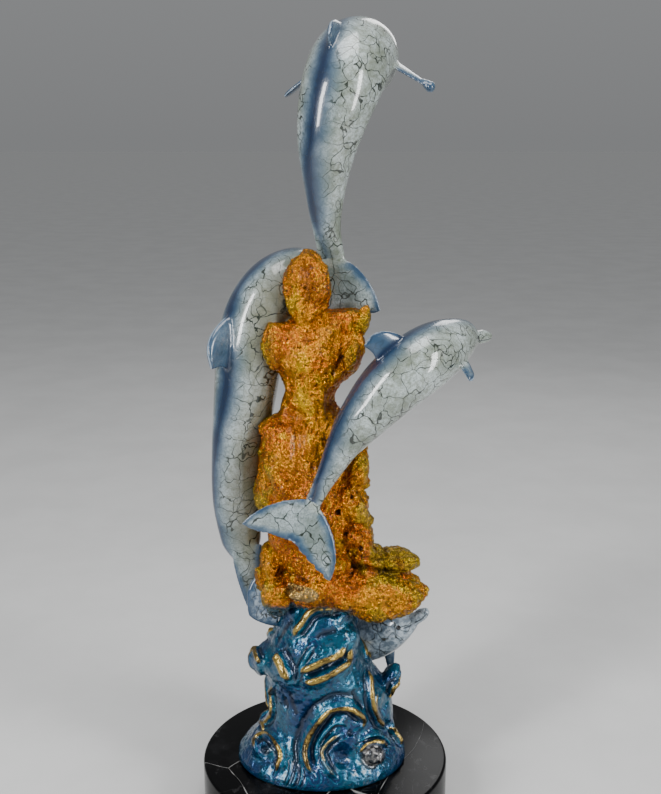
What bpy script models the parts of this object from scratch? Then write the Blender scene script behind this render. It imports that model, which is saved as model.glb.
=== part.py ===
"""A group of four dolphins round a coral rock on a wave, cast in bronze, on a marble disc.

Metres, +Z up. The origin is the centre of the disc's underside and the front faces -Y.
"""

import math

import bmesh
import bpy
from mathutils import Vector

# Driving dimensions, in metres. The plinth's radius and the seat follow from them.
FIGURE_HEIGHT = 0.756
PLINTH_MARGIN = 0.037
PLINTH_HEIGHT = 0.050
PLINTH_BEVEL = 0.003
SEAT_GAP = 0.0003

# The free form is drawn in units of its own, from the seat up, and scaled to the figure's height.
# FOOT_REACH is how far the wave's foot reaches from the middle, in the same units.
DRAWN_HEIGHT = 756.0
FOOT_REACH = 93.0
UNIT = FIGURE_HEIGHT / DRAWN_HEIGHT

PLINTH_RADIUS = FOOT_REACH * UNIT + PLINTH_MARGIN
SEAT = PLINTH_HEIGHT + SEAT_GAP

# Base colour, roughness and metallic value of each finish
ENAMEL = ((0.50, 0.57, 0.55), 0.18, 0.1)
CORAL = ((0.62, 0.22, 0.02), 0.25, 0.2)
SEA = ((0.01, 0.16, 0.30), 0.20, 0.2)
GOLD = ((0.48, 0.32, 0.10), 0.30, 0.8)
MARBLE = ((0.012, 0.012, 0.013), 0.12, 0.0)

# Sides of the rings that the forms are lofted from
BODY_SIDES = 11
FIN_STATIONS = 4
ROCK_SIDES = 16
LOBE_SIDES = 9
LOBE_RINGS = 4
RIDGE_SIDES = 4
PLINTH_SEGMENTS = 64


def smooth(a, b, x):
    """0 before a, 1 after b, and an even ease between."""
    x = min(1.0, max(0.0, (x - a) / (b - a)))
    return x * x * (3.0 - 2.0 * x)


def read(table, x):
    """The columns of a table at x, on a smooth curve through its rows."""
    last = len(table) - 1
    row = 0
    while row < last - 1 and x > table[row + 1][0]:
        row += 1
    before = table[max(row - 1, 0)]
    first = table[row]
    second = table[row + 1]
    after = table[min(row + 2, last)]
    span = second[0] - first[0]
    u = min(1.0, max(0.0, (x - first[0]) / span))
    found = []
    for column in range(1, len(first)):
        a = first[column]
        b = second[column]
        slope_a = (b - before[column]) / (second[0] - before[0]) * span
        slope_b = (after[column] - a) / (after[0] - first[0]) * span
        found.append(
            a * (1 + 2 * u) * (1 - u) ** 2
            + slope_a * u * (1 - u) ** 2
            + b * u * u * (3 - 2 * u)
            - slope_b * u * u * (1 - u)
        )
    return found


def by_length(points):
    """Rows of share of length, x, y and z, for points joined in order."""
    points = [Vector(point) for point in points]
    reached = [0.0]
    for before, after in zip(points, points[1:]):
        reached.append(reached[-1] + (after - before).length)
    return [(done / reached[-1], *point) for done, point in zip(reached, points)]


def evenly(rows):
    """Rows whose first column runs evenly from 0 to 1."""
    return [(index / (len(rows) - 1), *row) for index, row in enumerate(rows)]


def placed(point):
    """A drawn point in metres."""
    return Vector((point[0] * UNIT, point[1] * UNIT, SEAT + point[2] * UNIT))


def finish(name, look):
    """The painted or polished surface called name, made once."""
    made = bpy.data.materials.get(name)
    if made:
        return made
    made = bpy.data.materials.new(name)
    made.use_nodes = True
    shader = made.node_tree.nodes["Principled BSDF"]
    colour, roughness, metallic = look
    shader.inputs["Base Color"].default_value = (*colour, 1.0)
    shader.inputs["Roughness"].default_value = roughness
    shader.inputs["Metallic"].default_value = metallic
    return made


def lofted(name, rings, surface):
    """A closed body through rings of drawn points, with a flat cap at each end."""
    mesh = bpy.data.meshes.new(name)
    form = bmesh.new()
    loops = [[form.verts.new(placed(point)) for point in ring] for ring in rings]
    for lower, upper in zip(loops, loops[1:]):
        for index, vert in enumerate(lower):
            following = (index + 1) % len(lower)
            form.faces.new((vert, lower[following], upper[following], upper[index]))
    form.faces.new(loops[0][::-1])
    form.faces.new(loops[-1])
    bmesh.ops.triangulate(form, faces=form.faces[:])
    bmesh.ops.recalc_face_normals(form, faces=form.faces[:])
    if form.calc_volume(signed=True) < 0:
        bmesh.ops.reverse_faces(form, faces=form.faces[:])
    form.to_mesh(mesh)
    form.free()
    mesh.shade_smooth()
    mesh.materials.append(surface)
    return bpy.data.objects.new(name, mesh)


# Dolphins


# Share of length from beak tip to fluke joint, then half height, half width and lift of the
# section towards the back, as shares of the girth. The tail stock's size is added below.
BODY = (
    (0.000, 0.10, 0.11, -0.17),
    (0.030, 0.19, 0.19, -0.15),
    (0.078, 0.25, 0.25, -0.12),
    (0.096, 0.42, 0.38, -0.02),
    (0.128, 0.57, 0.53, 0.02),
    (0.200, 0.75, 0.74, 0.00),
    (0.300, 0.94, 0.95, 0.00),
    (0.390, 1.00, 1.00, 0.00),
    (0.480, 0.96, 0.98, 0.00),
    (0.560, 0.84, 0.84, 0.00),
    (0.640, 0.65, 0.62, 0.00),
    (0.720, 0.42, 0.38, 0.00),
    (0.800, 0.21, 0.16, 0.00),
    (0.900, 0.05, 0.02, 0.00),
    (1.000, 0.00, 0.00, 0.00),
)
STATIONS = (0.0, 0.02, 0.078, 0.096, 0.128, 0.18, 0.25, 0.33, 0.42)
STATIONS += (0.50, 0.57, 0.64, 0.71, 0.79, 0.87, 0.94, 1.0)


class Dolphin:
    """Pose and girth of one dolphin. Spine points run from the beak to the fluke joint."""

    def __init__(self, spine, backs, girth, breadth, stock):
        self.spine = by_length(spine)
        self.backs = evenly(backs)
        self.girth = girth
        self.breadth = breadth
        self.stock = stock

    def frame(self, t):
        """Centre, direction to the tail, direction of the back and direction of the left side."""
        centre = Vector(read(self.spine, t))
        ahead = Vector(read(self.spine, max(t - 0.01, 0.0)))
        behind = Vector(read(self.spine, min(t + 0.01, 1.0)))
        tailward = (behind - ahead).normalized()
        back = Vector(read(self.backs, t))
        back = (back - tailward * back.dot(tailward)).normalized()
        return centre, tailward, back, tailward.cross(back)

    def size(self, t):
        """Half height, half width and lift of the section at t."""
        height, width, lift = read(BODY, t)
        tail = smooth(0.45, 0.85, t)
        thin = 1.0 - 0.72 * smooth(0.90, 1.0, t)
        return (
            (height + tail * self.stock[0] * thin) * self.girth,
            (width + tail * self.stock[1]) * self.breadth,
            lift * self.girth,
        )

    def at(self, t, up, side):
        """A point at t, with up and side as shares of the section's half height and half width."""
        centre, _, back, left = self.frame(t)
        height, width, lift = self.size(t)
        return centre + back * (up * height + lift) + left * (side * width)

    def body(self, name):
        rings = []
        for t in STATIONS:
            ring = []
            for index in range(BODY_SIDES):
                turn = math.tau * index / BODY_SIDES
                ring.append(self.at(t, math.sin(turn), math.cos(turn)))
            rings.append(ring)
        return lofted(name, rings, finish("pale_enamel", ENAMEL))


def bent(start, through, end, s):
    """A point at s on the curve from start to end that through pulls to itself."""
    return start * (1 - s) ** 2 + through * (2 * s * (1 - s)) + end * s * s


# Section of a fin: share of the chord from the front edge, and share of the half thickness
FIN_SECTION = ((0.0, 0.0), (0.2, 0.9), (0.62, 0.8), (1.0, 0.0), (0.62, -0.8), (0.2, -0.9))
# Share of a fin's length that its blunt tip leaves off, and how far the rear edge ends behind the front,
# on the pointed tail fins and on the rounded back fins and flippers
FIN_TIP_CUT = 0.03
FIN_BLUNT = 2.5
FIN_ROUND = 9.0


def blade(name, front, rear, face, thickness, taper=0.62, blunt=FIN_BLUNT):
    """A fin: its front edge runs from start through pull to the tip, its rear edge from start and pull."""
    rear = (*rear, front[2] + (rear[0] - front[0]).normalized() * blunt)
    rings = []
    for index in range(FIN_STATIONS + 1):
        s = (1.0 - FIN_TIP_CUT) * index / FIN_STATIONS
        lead = bent(*front, s)
        trail = bent(*rear, s)
        chord = trail - lead
        half = thickness * (1.0 - taper * s) / 2
        across = (face - chord.normalized() * face.dot(chord.normalized())).normalized()
        ring = []
        for share, depth in FIN_SECTION:
            ring.append(lead + chord * share + across * half * depth)
        rings.append(ring)
    return lofted(name, rings, finish("pale_enamel", ENAMEL))


def dorsal_fin(name, dolphin, t, height, lean, sweep):
    """The fin on the back, rooted round t, leaning to the left by lean, with its tip at t + sweep."""
    _, _, _, left = dolphin.frame(t)
    front = (
        dolphin.at(t - 0.07, 0.80, 0.0),
        dolphin.at(t - 0.015, 1.0 + 1.15 * height, 0.60 * lean),
        dolphin.at(t + sweep, 1.0 + 0.80 * height, lean),
    )
    rear = (
        dolphin.at(t + 0.060, 0.80, 0.0),
        dolphin.at(t + 0.030 + 0.5 * sweep, 1.0 + 0.40 * height, 0.60 * lean),
    )
    return blade(name, front, rear, left, 0.36 * dolphin.girth, blunt=FIN_ROUND)


def pectoral_fin(name, dolphin, root, side, reach, drop, sweep, up=-0.45):
    """A flipper at root: side is 1 for left and -1 for right, reach, drop and sweep are shares of the girth."""
    _, tailward, back, left = dolphin.frame(root)
    tip = dolphin.at(root + 0.02, -0.40, side * 0.70)
    tip += (left * side * reach - back * drop + tailward * sweep) * dolphin.girth
    start = dolphin.at(root - 0.035, up, side * 0.62)
    heel = dolphin.at(root + 0.045, up, side * 0.62)
    front = (start, start.lerp(tip, 0.5), tip)
    rear = (heel, heel.lerp(tip + (heel - start).normalized() * FIN_ROUND, 0.5))
    return blade(name, front, rear, back, 0.20 * dolphin.girth, taper=0.2, blunt=FIN_ROUND)


def fluke_lobe(name, dolphin, tip, pull, notch):
    """Half of the tail fin: its front edge bends through pull to tip, its rear edge starts at notch."""
    tip = Vector(tip)
    notch = Vector(notch)
    joint, tailward, back, _ = dolphin.frame(1.0)
    outward = (tip - joint).normalized()
    front = (joint - tailward * 0.25 * dolphin.girth, Vector(pull), tip)
    rear = (notch - outward * 4.0, notch.lerp(tip, 0.5) + tailward * 3.0)
    return blade(name, front, rear, back, 0.24 * dolphin.girth)


def turned_lobe(name, root, pull, tip, heel, thickness):
    """Half of a tail fin that is turned flat to the front: its rear edge runs from heel to the tip."""
    root = Vector(root)
    tip = Vector(tip)
    heel = Vector(heel)
    rear = (heel, heel.lerp(tip, 0.5) + (heel - root) * 0.12)
    return blade(name, (root, Vector(pull), tip), rear, Vector((0, -1, 0)), thickness)


LEAPING = Dolphin(
    spine=(
        (18, 148, 656),
        (24, 131, 680),
        (33, 108, 700),
        (37, 82, 714),
        (33, 56, 719),
        (25, 32, 711),
        (17, 14, 693),
        (9, 6, 667),
        (3, 6, 636),
        (1, 10, 600),
        (2, 14, 560),
        (8, 18, 524),
    ),
    backs=(
        (-0.3, 0.8, 0.6),
        (-0.42, 0.2, 0.9),
        (-0.42, -0.4, 0.8),
        (-0.48, -0.88, 0.1),
        (-0.48, -0.88, 0),
        (-0.15, -1, 0),
    ),
    girth=39.0,
    breadth=40.0,
    stock=(0.32, 0.25),
)
LEFT = Dolphin(
    spine=(
        (10, 116, 458),
        (3, 94, 482),
        (-10, 68, 501),
        (-27, 44, 509),
        (-47, 28, 499),
        (-64, 20, 474),
        (-74, 17, 440),
        (-79, 16, 400),
        (-84, 15, 360),
        (-88, 14, 320),
        (-90, 13, 280),
        (-87, 13, 242),
        (-78, 12, 198),
    ),
    backs=(
        (-0.1, 0.3, 1),
        (-0.4, -0.2, 1),
        (-0.78, -0.4, 0.6),
        (-0.55, -0.83, 0.1),
        (-0.75, -0.66, 0),
        (-0.95, -0.3, 0),
        (-1, -0.2, 0),
    ),
    girth=34.0,
    breadth=34.0,
    stock=(0.58, 0.34),
)
RIGHT = Dolphin(
    spine=(
        (168, 34, 453),
        (153, 25, 452),
        (138, 12, 450),
        (122, -8, 448),
        (104, -28, 442),
        (84, -42, 431),
        (62, -48, 413),
        (40, -50, 388),
        (20, -50, 360),
        (4, -51, 330),
        (-13, -53, 297),
    ),
    backs=((-0.2, -0.1, 1), (-0.4, -0.2, 0.9), (-0.7, -0.3, 0.6), (-0.8, -0.5, 0.3), (-0.5, -0.85, 0)),
    girth=31.0,
    breadth=32.0,
    stock=(0.30, 0.28),
)
LOW = Dolphin(
    spine=(
        (104, 2, 166),
        (92, 8, 153),
        (76, 18, 138),
        (56, 34, 122),
        (32, 52, 110),
        (4, 62, 106),
        (-24, 60, 116),
        (-42, 48, 136),
        (-48, 32, 162),
        (-52, 18, 176),
    ),
    backs=(
        (-0.6, 0.1, 0.8),
        (-0.6, 0.4, 0.7),
        (0, 0.8, 0.5),
        (0, 1, 0),
        (-0.9, 0.5, 0),
        (-0.9, -0.1, 0.3),
    ),
    girth=29.0,
    breadth=29.0,
    stock=(0.34, 0.30),
)


def dolphins():
    """Every closed form of the four dolphins."""
    return [
        LEAPING.body("leaping_body"),
        dorsal_fin("leaping_dorsal", LEAPING, 0.442, 0.42, -0.21, 0.025),
        pectoral_fin("leaping_flipper_left", LEAPING, 0.36, 1, 1.39, -0.15, 0.08, up=0.22),
        pectoral_fin("leaping_flipper_right", LEAPING, 0.36, -1, 0.78, 0.70, 0.06),
        fluke_lobe("leaping_fluke_right", LEAPING, (56, 6, 478), (44, 8, 524), (9, 14, 470)),
        fluke_lobe("leaping_fluke_left", LEAPING, (-34, 22, 482), (-24, 18, 524), (9, 14, 470)),
        LEFT.body("left_body"),
        dorsal_fin("left_dorsal", LEFT, 0.442, 0.98, -0.08, 0.031),
        pectoral_fin("left_flipper_near", LEFT, 0.27, -1, 0.2, 0.59, 0.72),
        pectoral_fin("left_flipper_far", LEFT, 0.27, 1, 0.6, 0.75, 0.3),
        turned_lobe("left_fluke_near", (-98, 6, 236), (-94, -6, 200), (-77, -10, 163), (-64, 4, 236), 9.0),
        fluke_lobe("left_fluke_far", LEFT, (-88, 54, 186), (-88, 44, 216), (-75, 12, 178)),
        RIGHT.body("right_body"),
        dorsal_fin("right_dorsal", RIGHT, 0.445, 0.84, 0.11, 0.032),
        pectoral_fin("right_flipper_near", RIGHT, 0.254, -1, 0.72, 0.44, 0.51),
        pectoral_fin("right_flipper_far", RIGHT, 0.27, 1, 0.5, 0.8, 0.3),
        fluke_lobe("right_fluke_left", RIGHT, (-80, -68, 285), (-52, -66, 313), (-33, -68, 264)),
        fluke_lobe("right_fluke_right", RIGHT, (6, -72, 226), (22, -66, 262), (-33, -68, 264)),
        LOW.body("low_body"),
        dorsal_fin("low_dorsal", LOW, 0.47, 0.7, 0.0, 0.05),
        pectoral_fin("low_flipper_near", LOW, 0.29, 1, 0.7, 0.8, 0.5),
        pectoral_fin("low_flipper_far", LOW, 0.29, -1, 0.7, 0.8, 0.5),
        turned_lobe("low_fluke_near", (-50, 10, 196), (-82, 0, 196), (-76, -4, 154), (-50, 8, 142), 15.0),
        fluke_lobe("low_fluke_far", LOW, (-62, 56, 150), (-68, 44, 184), (-55, 14, 144)),
    ]


# Coral rock


# Height, left, right, front and back of the trunk
TRUNK = (
    (140, -24, 14, -18, 18),
    (168, -36, 26, -30, 28),
    (188, -52, 40, -42, 36),
    (216, -48, 42, -42, 34),
    (240, -54, 42, -44, 33),
    (262, -58, 34, -46, 32),
    (285, -64, 36, -46, 30),
    (305, -68, 38, -46, 30),
    (332, -67, 38, -45, 30),
    (352, -62, 40, -43, 30),
    (368, -60, 26, -38, 28),
    (375, -44, 18, -32, 27),
    (386, -40, 8, -29, 26),
    (402, -39, 12, -27, 26),
    (418, -43, 28, -28, 28),
    (424, -50, 33, -29, 29),
    (436, -57, 34, -30, 30),
    (448, -58, 29, -29, 30),
    (460, -55, 31, -25, 30),
    (467, -45, 36, -21, 30),
    (472, -28, 38, -17, 29),
    (478, -24, 38, -12, 27),
)
# Centre, half size and turn about the view line, in degrees, of each lobe that grows from the trunk
LOBES = (
    ((-16, -14, 502), (21, 15, 36), 3),
    ((-47, -12, 446), (13, 14, 23), 6),
    ((25, -10, 438), (12, 18, 20), -20),
    ((37, -4, 470), (5, 8, 15), -14),
    ((-52, -8, 212), (13, 20, 30), 10),
    ((-46, -26, 190), (14, 16, 18), -10),
    ((34, -20, 250), (13, 22, 24), 0),
    ((30, -28, 290), (12, 18, 20), 15),
    ((32, -24, 324), (10, 18, 22), -10),
    ((-6, -36, 205), (26, 16, 18), 0),
    ((44, -14, 224), (18, 26, 16), 0),
    ((74, -12, 224), (22, 20, 11), 0),
)
# Distance along X, then lowest, highest, nearest and farthest of the shelf
SHELF = (
    (10, 176, 226, -48, 20),
    (34, 168, 226, -50, 22),
    (56, 164, 222, -50, 20),
    (76, 164, 219, -46, 16),
    (92, 171, 216, -38, 8),
    (100, 180, 211, -28, -2),
    (104, 188, 204, -20, -10),
)


def rock_ring(low, high, near, far, level, upright):
    """A lumpy ring in a level plane, or in one across X where upright is true."""
    ring = []
    for index in range(ROCK_SIDES):
        turn = math.tau * index / ROCK_SIDES
        lump = 1.0 + 0.045 * math.sin(3 * turn + level * 0.061) + 0.035 * math.sin(5 * turn - level * 0.093)
        first = (low + high) / 2 + (high - low) / 2 * math.cos(turn) * lump
        second = (near + far) / 2 + (far - near) / 2 * math.sin(turn) * lump
        ring.append((level, second, first) if upright else (first, second, level))
    return ring


def lobe(name, centre, half, turn, surface):
    """A rounded, slightly lumpy body."""
    rings = []
    turn = math.radians(turn)
    for step in range(1, LOBE_RINGS + 1):
        pitch = math.pi * (step / (LOBE_RINGS + 1) - 0.5)
        ring = []
        for index in range(LOBE_SIDES):
            yaw = math.tau * index / LOBE_SIDES
            lump = 1.0 + 0.07 * math.sin(2 * yaw + centre[2]) * math.cos(3 * pitch + centre[0])
            x = half[0] * math.cos(pitch) * math.cos(yaw) * lump
            y = half[1] * math.cos(pitch) * math.sin(yaw) * lump
            z = half[2] * math.sin(pitch) * lump
            ring.append(
                (
                    centre[0] + x * math.cos(turn) - z * math.sin(turn),
                    centre[1] + y,
                    centre[2] + x * math.sin(turn) + z * math.cos(turn),
                )
            )
        rings.append(ring)
    return lofted(name, rings, surface)


def coral():
    """Every closed form of the coral rock."""
    surface = finish("coral_enamel", CORAL)
    trunk = []
    for level, left, right, front, rear in TRUNK:
        trunk.append(rock_ring(left, right, front, rear, level, False))
    shelf = []
    for level, lowest, highest, nearest, farthest in SHELF:
        shelf.append(rock_ring(lowest, highest, nearest, farthest, level, True))
    forms = [lofted("coral_trunk", trunk, surface), lofted("coral_shelf", shelf, surface)]
    for number, (centre, half, turn) in enumerate(LOBES, 1):
        forms.append(lobe(f"coral_lobe_{number}", centre, half, turn, surface))
    return forms


# Wave


# Height, left, right, front and back of the wave
WAVE = (
    (0, -FOOT_REACH, 86, -77, 70),
    (8, -92, 85, -76, 69),
    (18, -84, 79, -70, 63),
    (28, -74, 73, -63, 57),
    (42, -62, 68, -57, 52),
    (60, -58, 65, -54, 50),
    (78, -58, 66, -54, 50),
    (96, -62, 56, -55, 48),
    (112, -68, 42, -56, 46),
    (128, -60, 35, -54, 44),
    (146, -51, 33, -50, 42),
    (164, -46, 34, -45, 40),
    (182, -42, 32, -38, 34),
    (198, -30, 20, -26, 22),
)
WAVE_SIDES = 30
FLUTES = 7
FLUTE_DEPTH = 0.035
FLUTE_TWIST = 0.035


def wave_front(x, z):
    """The wave's near surface at x and z."""
    left, right, front, rear = read(WAVE, z)
    middle = (left + right) / 2
    share = min(1.0, abs(x - middle) / ((right - left) / 2))
    return (front + rear) / 2 - (rear - front) / 2 * math.sqrt(1.0 - share * share)


# Routes of the raised gold edges, as x and z on the near surface, and their half thickness
RIDGES = (
    (((12, 180), (-8, 180), (-19, 172), (-27, 161), (-35, 149)), 3.2),
    (((-54, 129), (-46, 123), (-40, 113), (-41, 104)), 6.0),
    (((-27, 117), (-13, 129), (4, 136), (22, 143)), 5.0),
    (((-28, 108), (-12, 110), (6, 117), (26, 128)), 4.6),
    (((39, 112), (44, 100), (46, 86), (49, 70), (56, 52), (66, 37)), 3.4),
    (((-55, 84), (-52, 72), (-55, 58), (-62, 45)), 3.4),
    (((-73, 17), (-75, 26), (-69, 33), (-60, 35), (-51, 31), (-45, 22), (-49, 12), (-56, 5)), 3.6),
    (
        (
            (-10, 10),
            (-17, 26),
            (-17, 46),
            (-8, 63),
            (3, 76),
            (18, 82),
            (31, 78),
            (39, 67),
            (37, 57),
            (29, 55),
        ),
        3.8,
    ),
    (((14, 6), (2, 18), (-4, 32), (2, 45), (13, 52), (21, 50)), 3.2),
    (((33, 29), (38, 37), (48, 40), (59, 35), (66, 25)), 3.4),
)
# Centre, half size and turn about the view line, in degrees, of the wave's rounded crests
CRESTS = (
    ((-63, -8, 114), (12, 20, 17), -20),
    ((10, -26, 144), (26, 22, 24), 25),
    ((68, -2, 86), (9, 14, 20), -28),
    ((62, -4, 56), (10, 20, 24), 10),
    ((48, -46, 25), (15, 12, 13), 0),
    ((-62, -34, 22), (15, 14, 14), 0),
    ((16, -50, 34), (20, 10, 24), 0),
)


def ridge(name, route, thick):
    """A raised edge along a route of x and z on the wave's near surface, thick in its middle."""
    rows = by_length([(x, wave_front(x, z), z) for x, z in route])
    count = 2 * (len(route) - 1)
    rings = []
    for index in range(count + 1):
        s = index / count
        centre = Vector(read(rows, s))
        along = Vector(read(rows, min(s + 0.02, 1.0))) - Vector(read(rows, max(s - 0.02, 0.0)))
        along.normalize()
        across = along.cross(Vector((0, -1, 0))).normalized()
        outward = across.cross(along)
        half = thick * (0.35 + 0.65 * math.sin(math.pi * s))
        ring = []
        for side in range(RIDGE_SIDES):
            turn = math.tau * side / RIDGE_SIDES
            ring.append(centre + across * half * math.cos(turn) + outward * half * math.sin(turn))
        rings.append(ring)
    return lofted(name, rings, finish("gold_patina", GOLD))


def wave():
    """The wave's mass, the base that everything else is joined to."""
    rings = []
    for level, left, right, front, rear in WAVE:
        fluted = FLUTE_DEPTH * smooth(20, 45, level) * (1.0 - smooth(80, 110, level))
        ring = []
        for index in range(WAVE_SIDES):
            turn = math.tau * index / WAVE_SIDES
            swell = 1.0 + fluted * math.sin(FLUTES * turn + level * FLUTE_TWIST)
            x = (left + right) / 2 + (right - left) / 2 * math.cos(turn) * swell
            y = (front + rear) / 2 + (rear - front) / 2 * math.sin(turn) * swell
            ring.append((x, y, level))
        rings.append(ring)
    return lofted("bronze_group", rings, finish("sea_enamel", SEA))


def crests():
    """The wave's raised edges and rounded crests."""
    forms = []
    for number, (route, thick) in enumerate(RIDGES, 1):
        forms.append(ridge(f"wave_ridge_{number}", route, thick))
    for number, (centre, half, turn) in enumerate(CRESTS, 1):
        forms.append(lobe(f"wave_crest_{number}", centre, half, turn, finish("sea_enamel", SEA)))
    return forms


def plinth():
    """The polished marble disc, its upper edge bevelled."""
    mesh = bpy.data.meshes.new("marble_plinth")
    form = bmesh.new()
    bmesh.ops.create_cone(
        form,
        cap_ends=True,
        segments=PLINTH_SEGMENTS,
        radius1=PLINTH_RADIUS,
        radius2=PLINTH_RADIUS,
        depth=PLINTH_HEIGHT,
    )
    form.to_mesh(mesh)
    form.free()
    disc = bpy.data.objects.new("marble_plinth", mesh)
    disc.location.z = PLINTH_HEIGHT / 2
    mesh.shade_smooth()
    mesh.set_sharp_from_angle(angle=math.radians(30))
    mesh.materials.append(finish("black_marble", MARBLE))
    edge = disc.modifiers.new("polished_edge", "BEVEL")
    edge.width = PLINTH_BEVEL
    edge.segments = 2
    edge.limit_method = "ANGLE"
    return disc


def main():
    for old in list(bpy.data.objects):
        bpy.data.objects.remove(old, do_unlink=True)
    scene = bpy.context.scene
    group = wave()
    scene.collection.objects.link(group)
    forms = bpy.data.collections.new("group_forms")
    scene.collection.children.link(forms)
    for form in dolphins() + coral() + crests():
        forms.objects.link(form)
        form.hide_render = True
        form.display_type = "WIRE"
    union = group.modifiers.new("union", "BOOLEAN")
    union.operation = "UNION"
    union.operand_type = "COLLECTION"
    union.collection = forms
    union.solver = "EXACT"
    union.material_mode = "TRANSFER"
    scene.collection.objects.link(plinth())


main()
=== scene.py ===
"""Looks of the dolphin group: crackled enamel dolphins, gilded wave, pitted coral and marble disc.

Metres, +Z up, front towards -Y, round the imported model. The free form is drawn in units of its own,
from the top of the disc up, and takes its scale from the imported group's height.
"""

import math

import bmesh
import bpy
import numpy as np
from mathutils import Matrix, Vector, noise
from mathutils.bvhtree import BVHTree


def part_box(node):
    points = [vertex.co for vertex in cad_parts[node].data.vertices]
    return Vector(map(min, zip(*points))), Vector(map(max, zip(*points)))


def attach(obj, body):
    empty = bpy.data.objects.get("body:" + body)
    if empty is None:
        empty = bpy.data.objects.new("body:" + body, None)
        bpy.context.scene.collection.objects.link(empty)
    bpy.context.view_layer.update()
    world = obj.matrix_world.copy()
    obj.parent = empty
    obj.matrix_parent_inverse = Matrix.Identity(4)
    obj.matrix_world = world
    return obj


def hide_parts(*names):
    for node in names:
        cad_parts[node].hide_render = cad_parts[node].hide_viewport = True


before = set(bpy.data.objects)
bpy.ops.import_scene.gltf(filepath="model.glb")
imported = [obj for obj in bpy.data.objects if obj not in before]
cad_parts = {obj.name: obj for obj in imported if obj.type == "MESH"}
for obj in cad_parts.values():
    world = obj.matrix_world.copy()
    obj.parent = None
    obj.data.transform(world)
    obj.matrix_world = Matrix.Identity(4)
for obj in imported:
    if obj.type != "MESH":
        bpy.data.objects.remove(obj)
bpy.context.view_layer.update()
GROUP_LOW, GROUP_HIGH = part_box("bronze_group")
DISC_LOW, DISC_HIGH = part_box("marble_plinth")

# The group's height in drawn units, the size of one in metres, and the level they start from
DRAWN_TOP = 755.7
UNIT = (GROUP_HIGH.z - GROUP_LOW.z) / DRAWN_TOP
SEAT = GROUP_LOW.z

# Voxel sizes of the fused forms, in metres
DOLPHIN_VOXEL = 0.0012
CORAL_VOXEL = 0.00136
WAVE_VOXEL = 0.0012


# Curves and lofts


def ease(a, b, x):
    """0 before a, 1 after b, and an even ease between. Takes numbers or arrays."""
    x = np.clip((x - a) / (b - a), 0.0, 1.0)
    return x * x * (3.0 - 2.0 * x)


def read(table, x):
    """The columns of a table at x, on a smooth curve through its rows."""
    last = len(table) - 1
    row = 0
    while row < last - 1 and x > table[row + 1][0]:
        row += 1
    before = table[max(row - 1, 0)]
    first = table[row]
    second = table[row + 1]
    after = table[min(row + 2, last)]
    span = second[0] - first[0]
    u = min(1.0, max(0.0, (x - first[0]) / span))
    found = []
    for column in range(1, len(first)):
        a = first[column]
        b = second[column]
        slope_a = (b - before[column]) / (second[0] - before[0]) * span
        slope_b = (after[column] - a) / (after[0] - first[0]) * span
        found.append(
            a * (1 + 2 * u) * (1 - u) ** 2
            + slope_a * u * (1 - u) ** 2
            + b * u * u * (3 - 2 * u)
            - slope_b * u * u * (1 - u)
        )
    return found


def by_length(points):
    """Rows of share of length, x, y and z, for points joined in order."""
    points = [Vector(point) for point in points]
    reached = [0.0]
    for before, after in zip(points, points[1:]):
        reached.append(reached[-1] + (after - before).length)
    return [(done / reached[-1], *point) for done, point in zip(reached, points)]


def evenly(rows):
    """Rows whose first column runs evenly from 0 to 1."""
    return [(index / (len(rows) - 1), *row) for index, row in enumerate(rows)]


def traced(points, count):
    """count points along a smooth curve through points."""
    rows = by_length(points)
    return np.array([read(rows, index / (count - 1)) for index in range(count)])


def placed(points):
    """Drawn points in metres."""
    points = np.asarray(points, float) * UNIT
    points[..., 2] += SEAT
    return points


def drawn(points):
    """Points in metres as drawn points."""
    return (np.asarray(points, float) - (0.0, 0.0, SEAT)) / UNIT


def mesh_of(name, points, faces):
    mesh = bpy.data.meshes.new(name)
    mesh.from_pydata([tuple(point) for point in points], [], faces)
    return mesh


def turned(levels, sides, at):
    """Rings of the points that at gives for a level and a turn in radians, so many sides to a ring."""
    return [[at(level, math.tau * index / sides) for index in range(sides)] for level in levels]


def oval(table, level, turn, lump=1.0):
    """Both level coordinates, at a turn, of the oval ring that a table gives by its four sides."""
    low, high, near, far = read(table, level)
    first = (low + high) / 2 + (high - low) / 2 * math.cos(turn) * lump
    second = (near + far) / 2 + (far - near) / 2 * math.sin(turn) * lump
    return first, second


def loft(rings):
    """(points, faces) of a closed body through rings of drawn points."""
    rings = np.asarray(rings, float)
    count, sides, _ = rings.shape
    faces = []
    for ring in range(count - 1):
        for side in range(sides):
            following = (side + 1) % sides
            low = ring * sides
            high = low + sides
            faces.append((low + side, low + following, high + following, high + side))
    faces.append(tuple(range(sides))[::-1])
    faces.append(tuple((count - 1) * sides + side for side in range(sides)))
    return rings.reshape(-1, 3), faces


def added(name, data):
    """A new object in the scene."""
    made = bpy.data.objects.new(name, data)
    bpy.context.scene.collection.objects.link(made)
    return made


def facing_out(mesh):
    """Turns a closed mesh's faces outwards."""
    form = bmesh.new()
    form.from_mesh(mesh)
    bmesh.ops.recalc_face_normals(form, faces=form.faces[:])
    if form.calc_volume(signed=True) < 0:
        bmesh.ops.reverse_faces(form, faces=form.faces[:])
    form.to_mesh(mesh)
    form.free()
    return mesh


def vectors(mesh, kind="co"):
    """The mesh's points as rows, or its normals where kind is normal."""
    flat = np.empty(len(mesh.vertices) * 3)
    mesh.vertices.foreach_get(kind, flat)
    return flat.reshape(-1, 3)


def tree_of(points, mesh):
    """A search tree over a mesh's faces, with its points at the given places."""
    faces = [tuple(face.vertices) for face in mesh.polygons]
    return BVHTree.FromPolygons([Vector(point) for point in points], faces)


def move_to(mesh, points):
    mesh.vertices.foreach_set("co", points.ravel())
    mesh.update()


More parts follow.
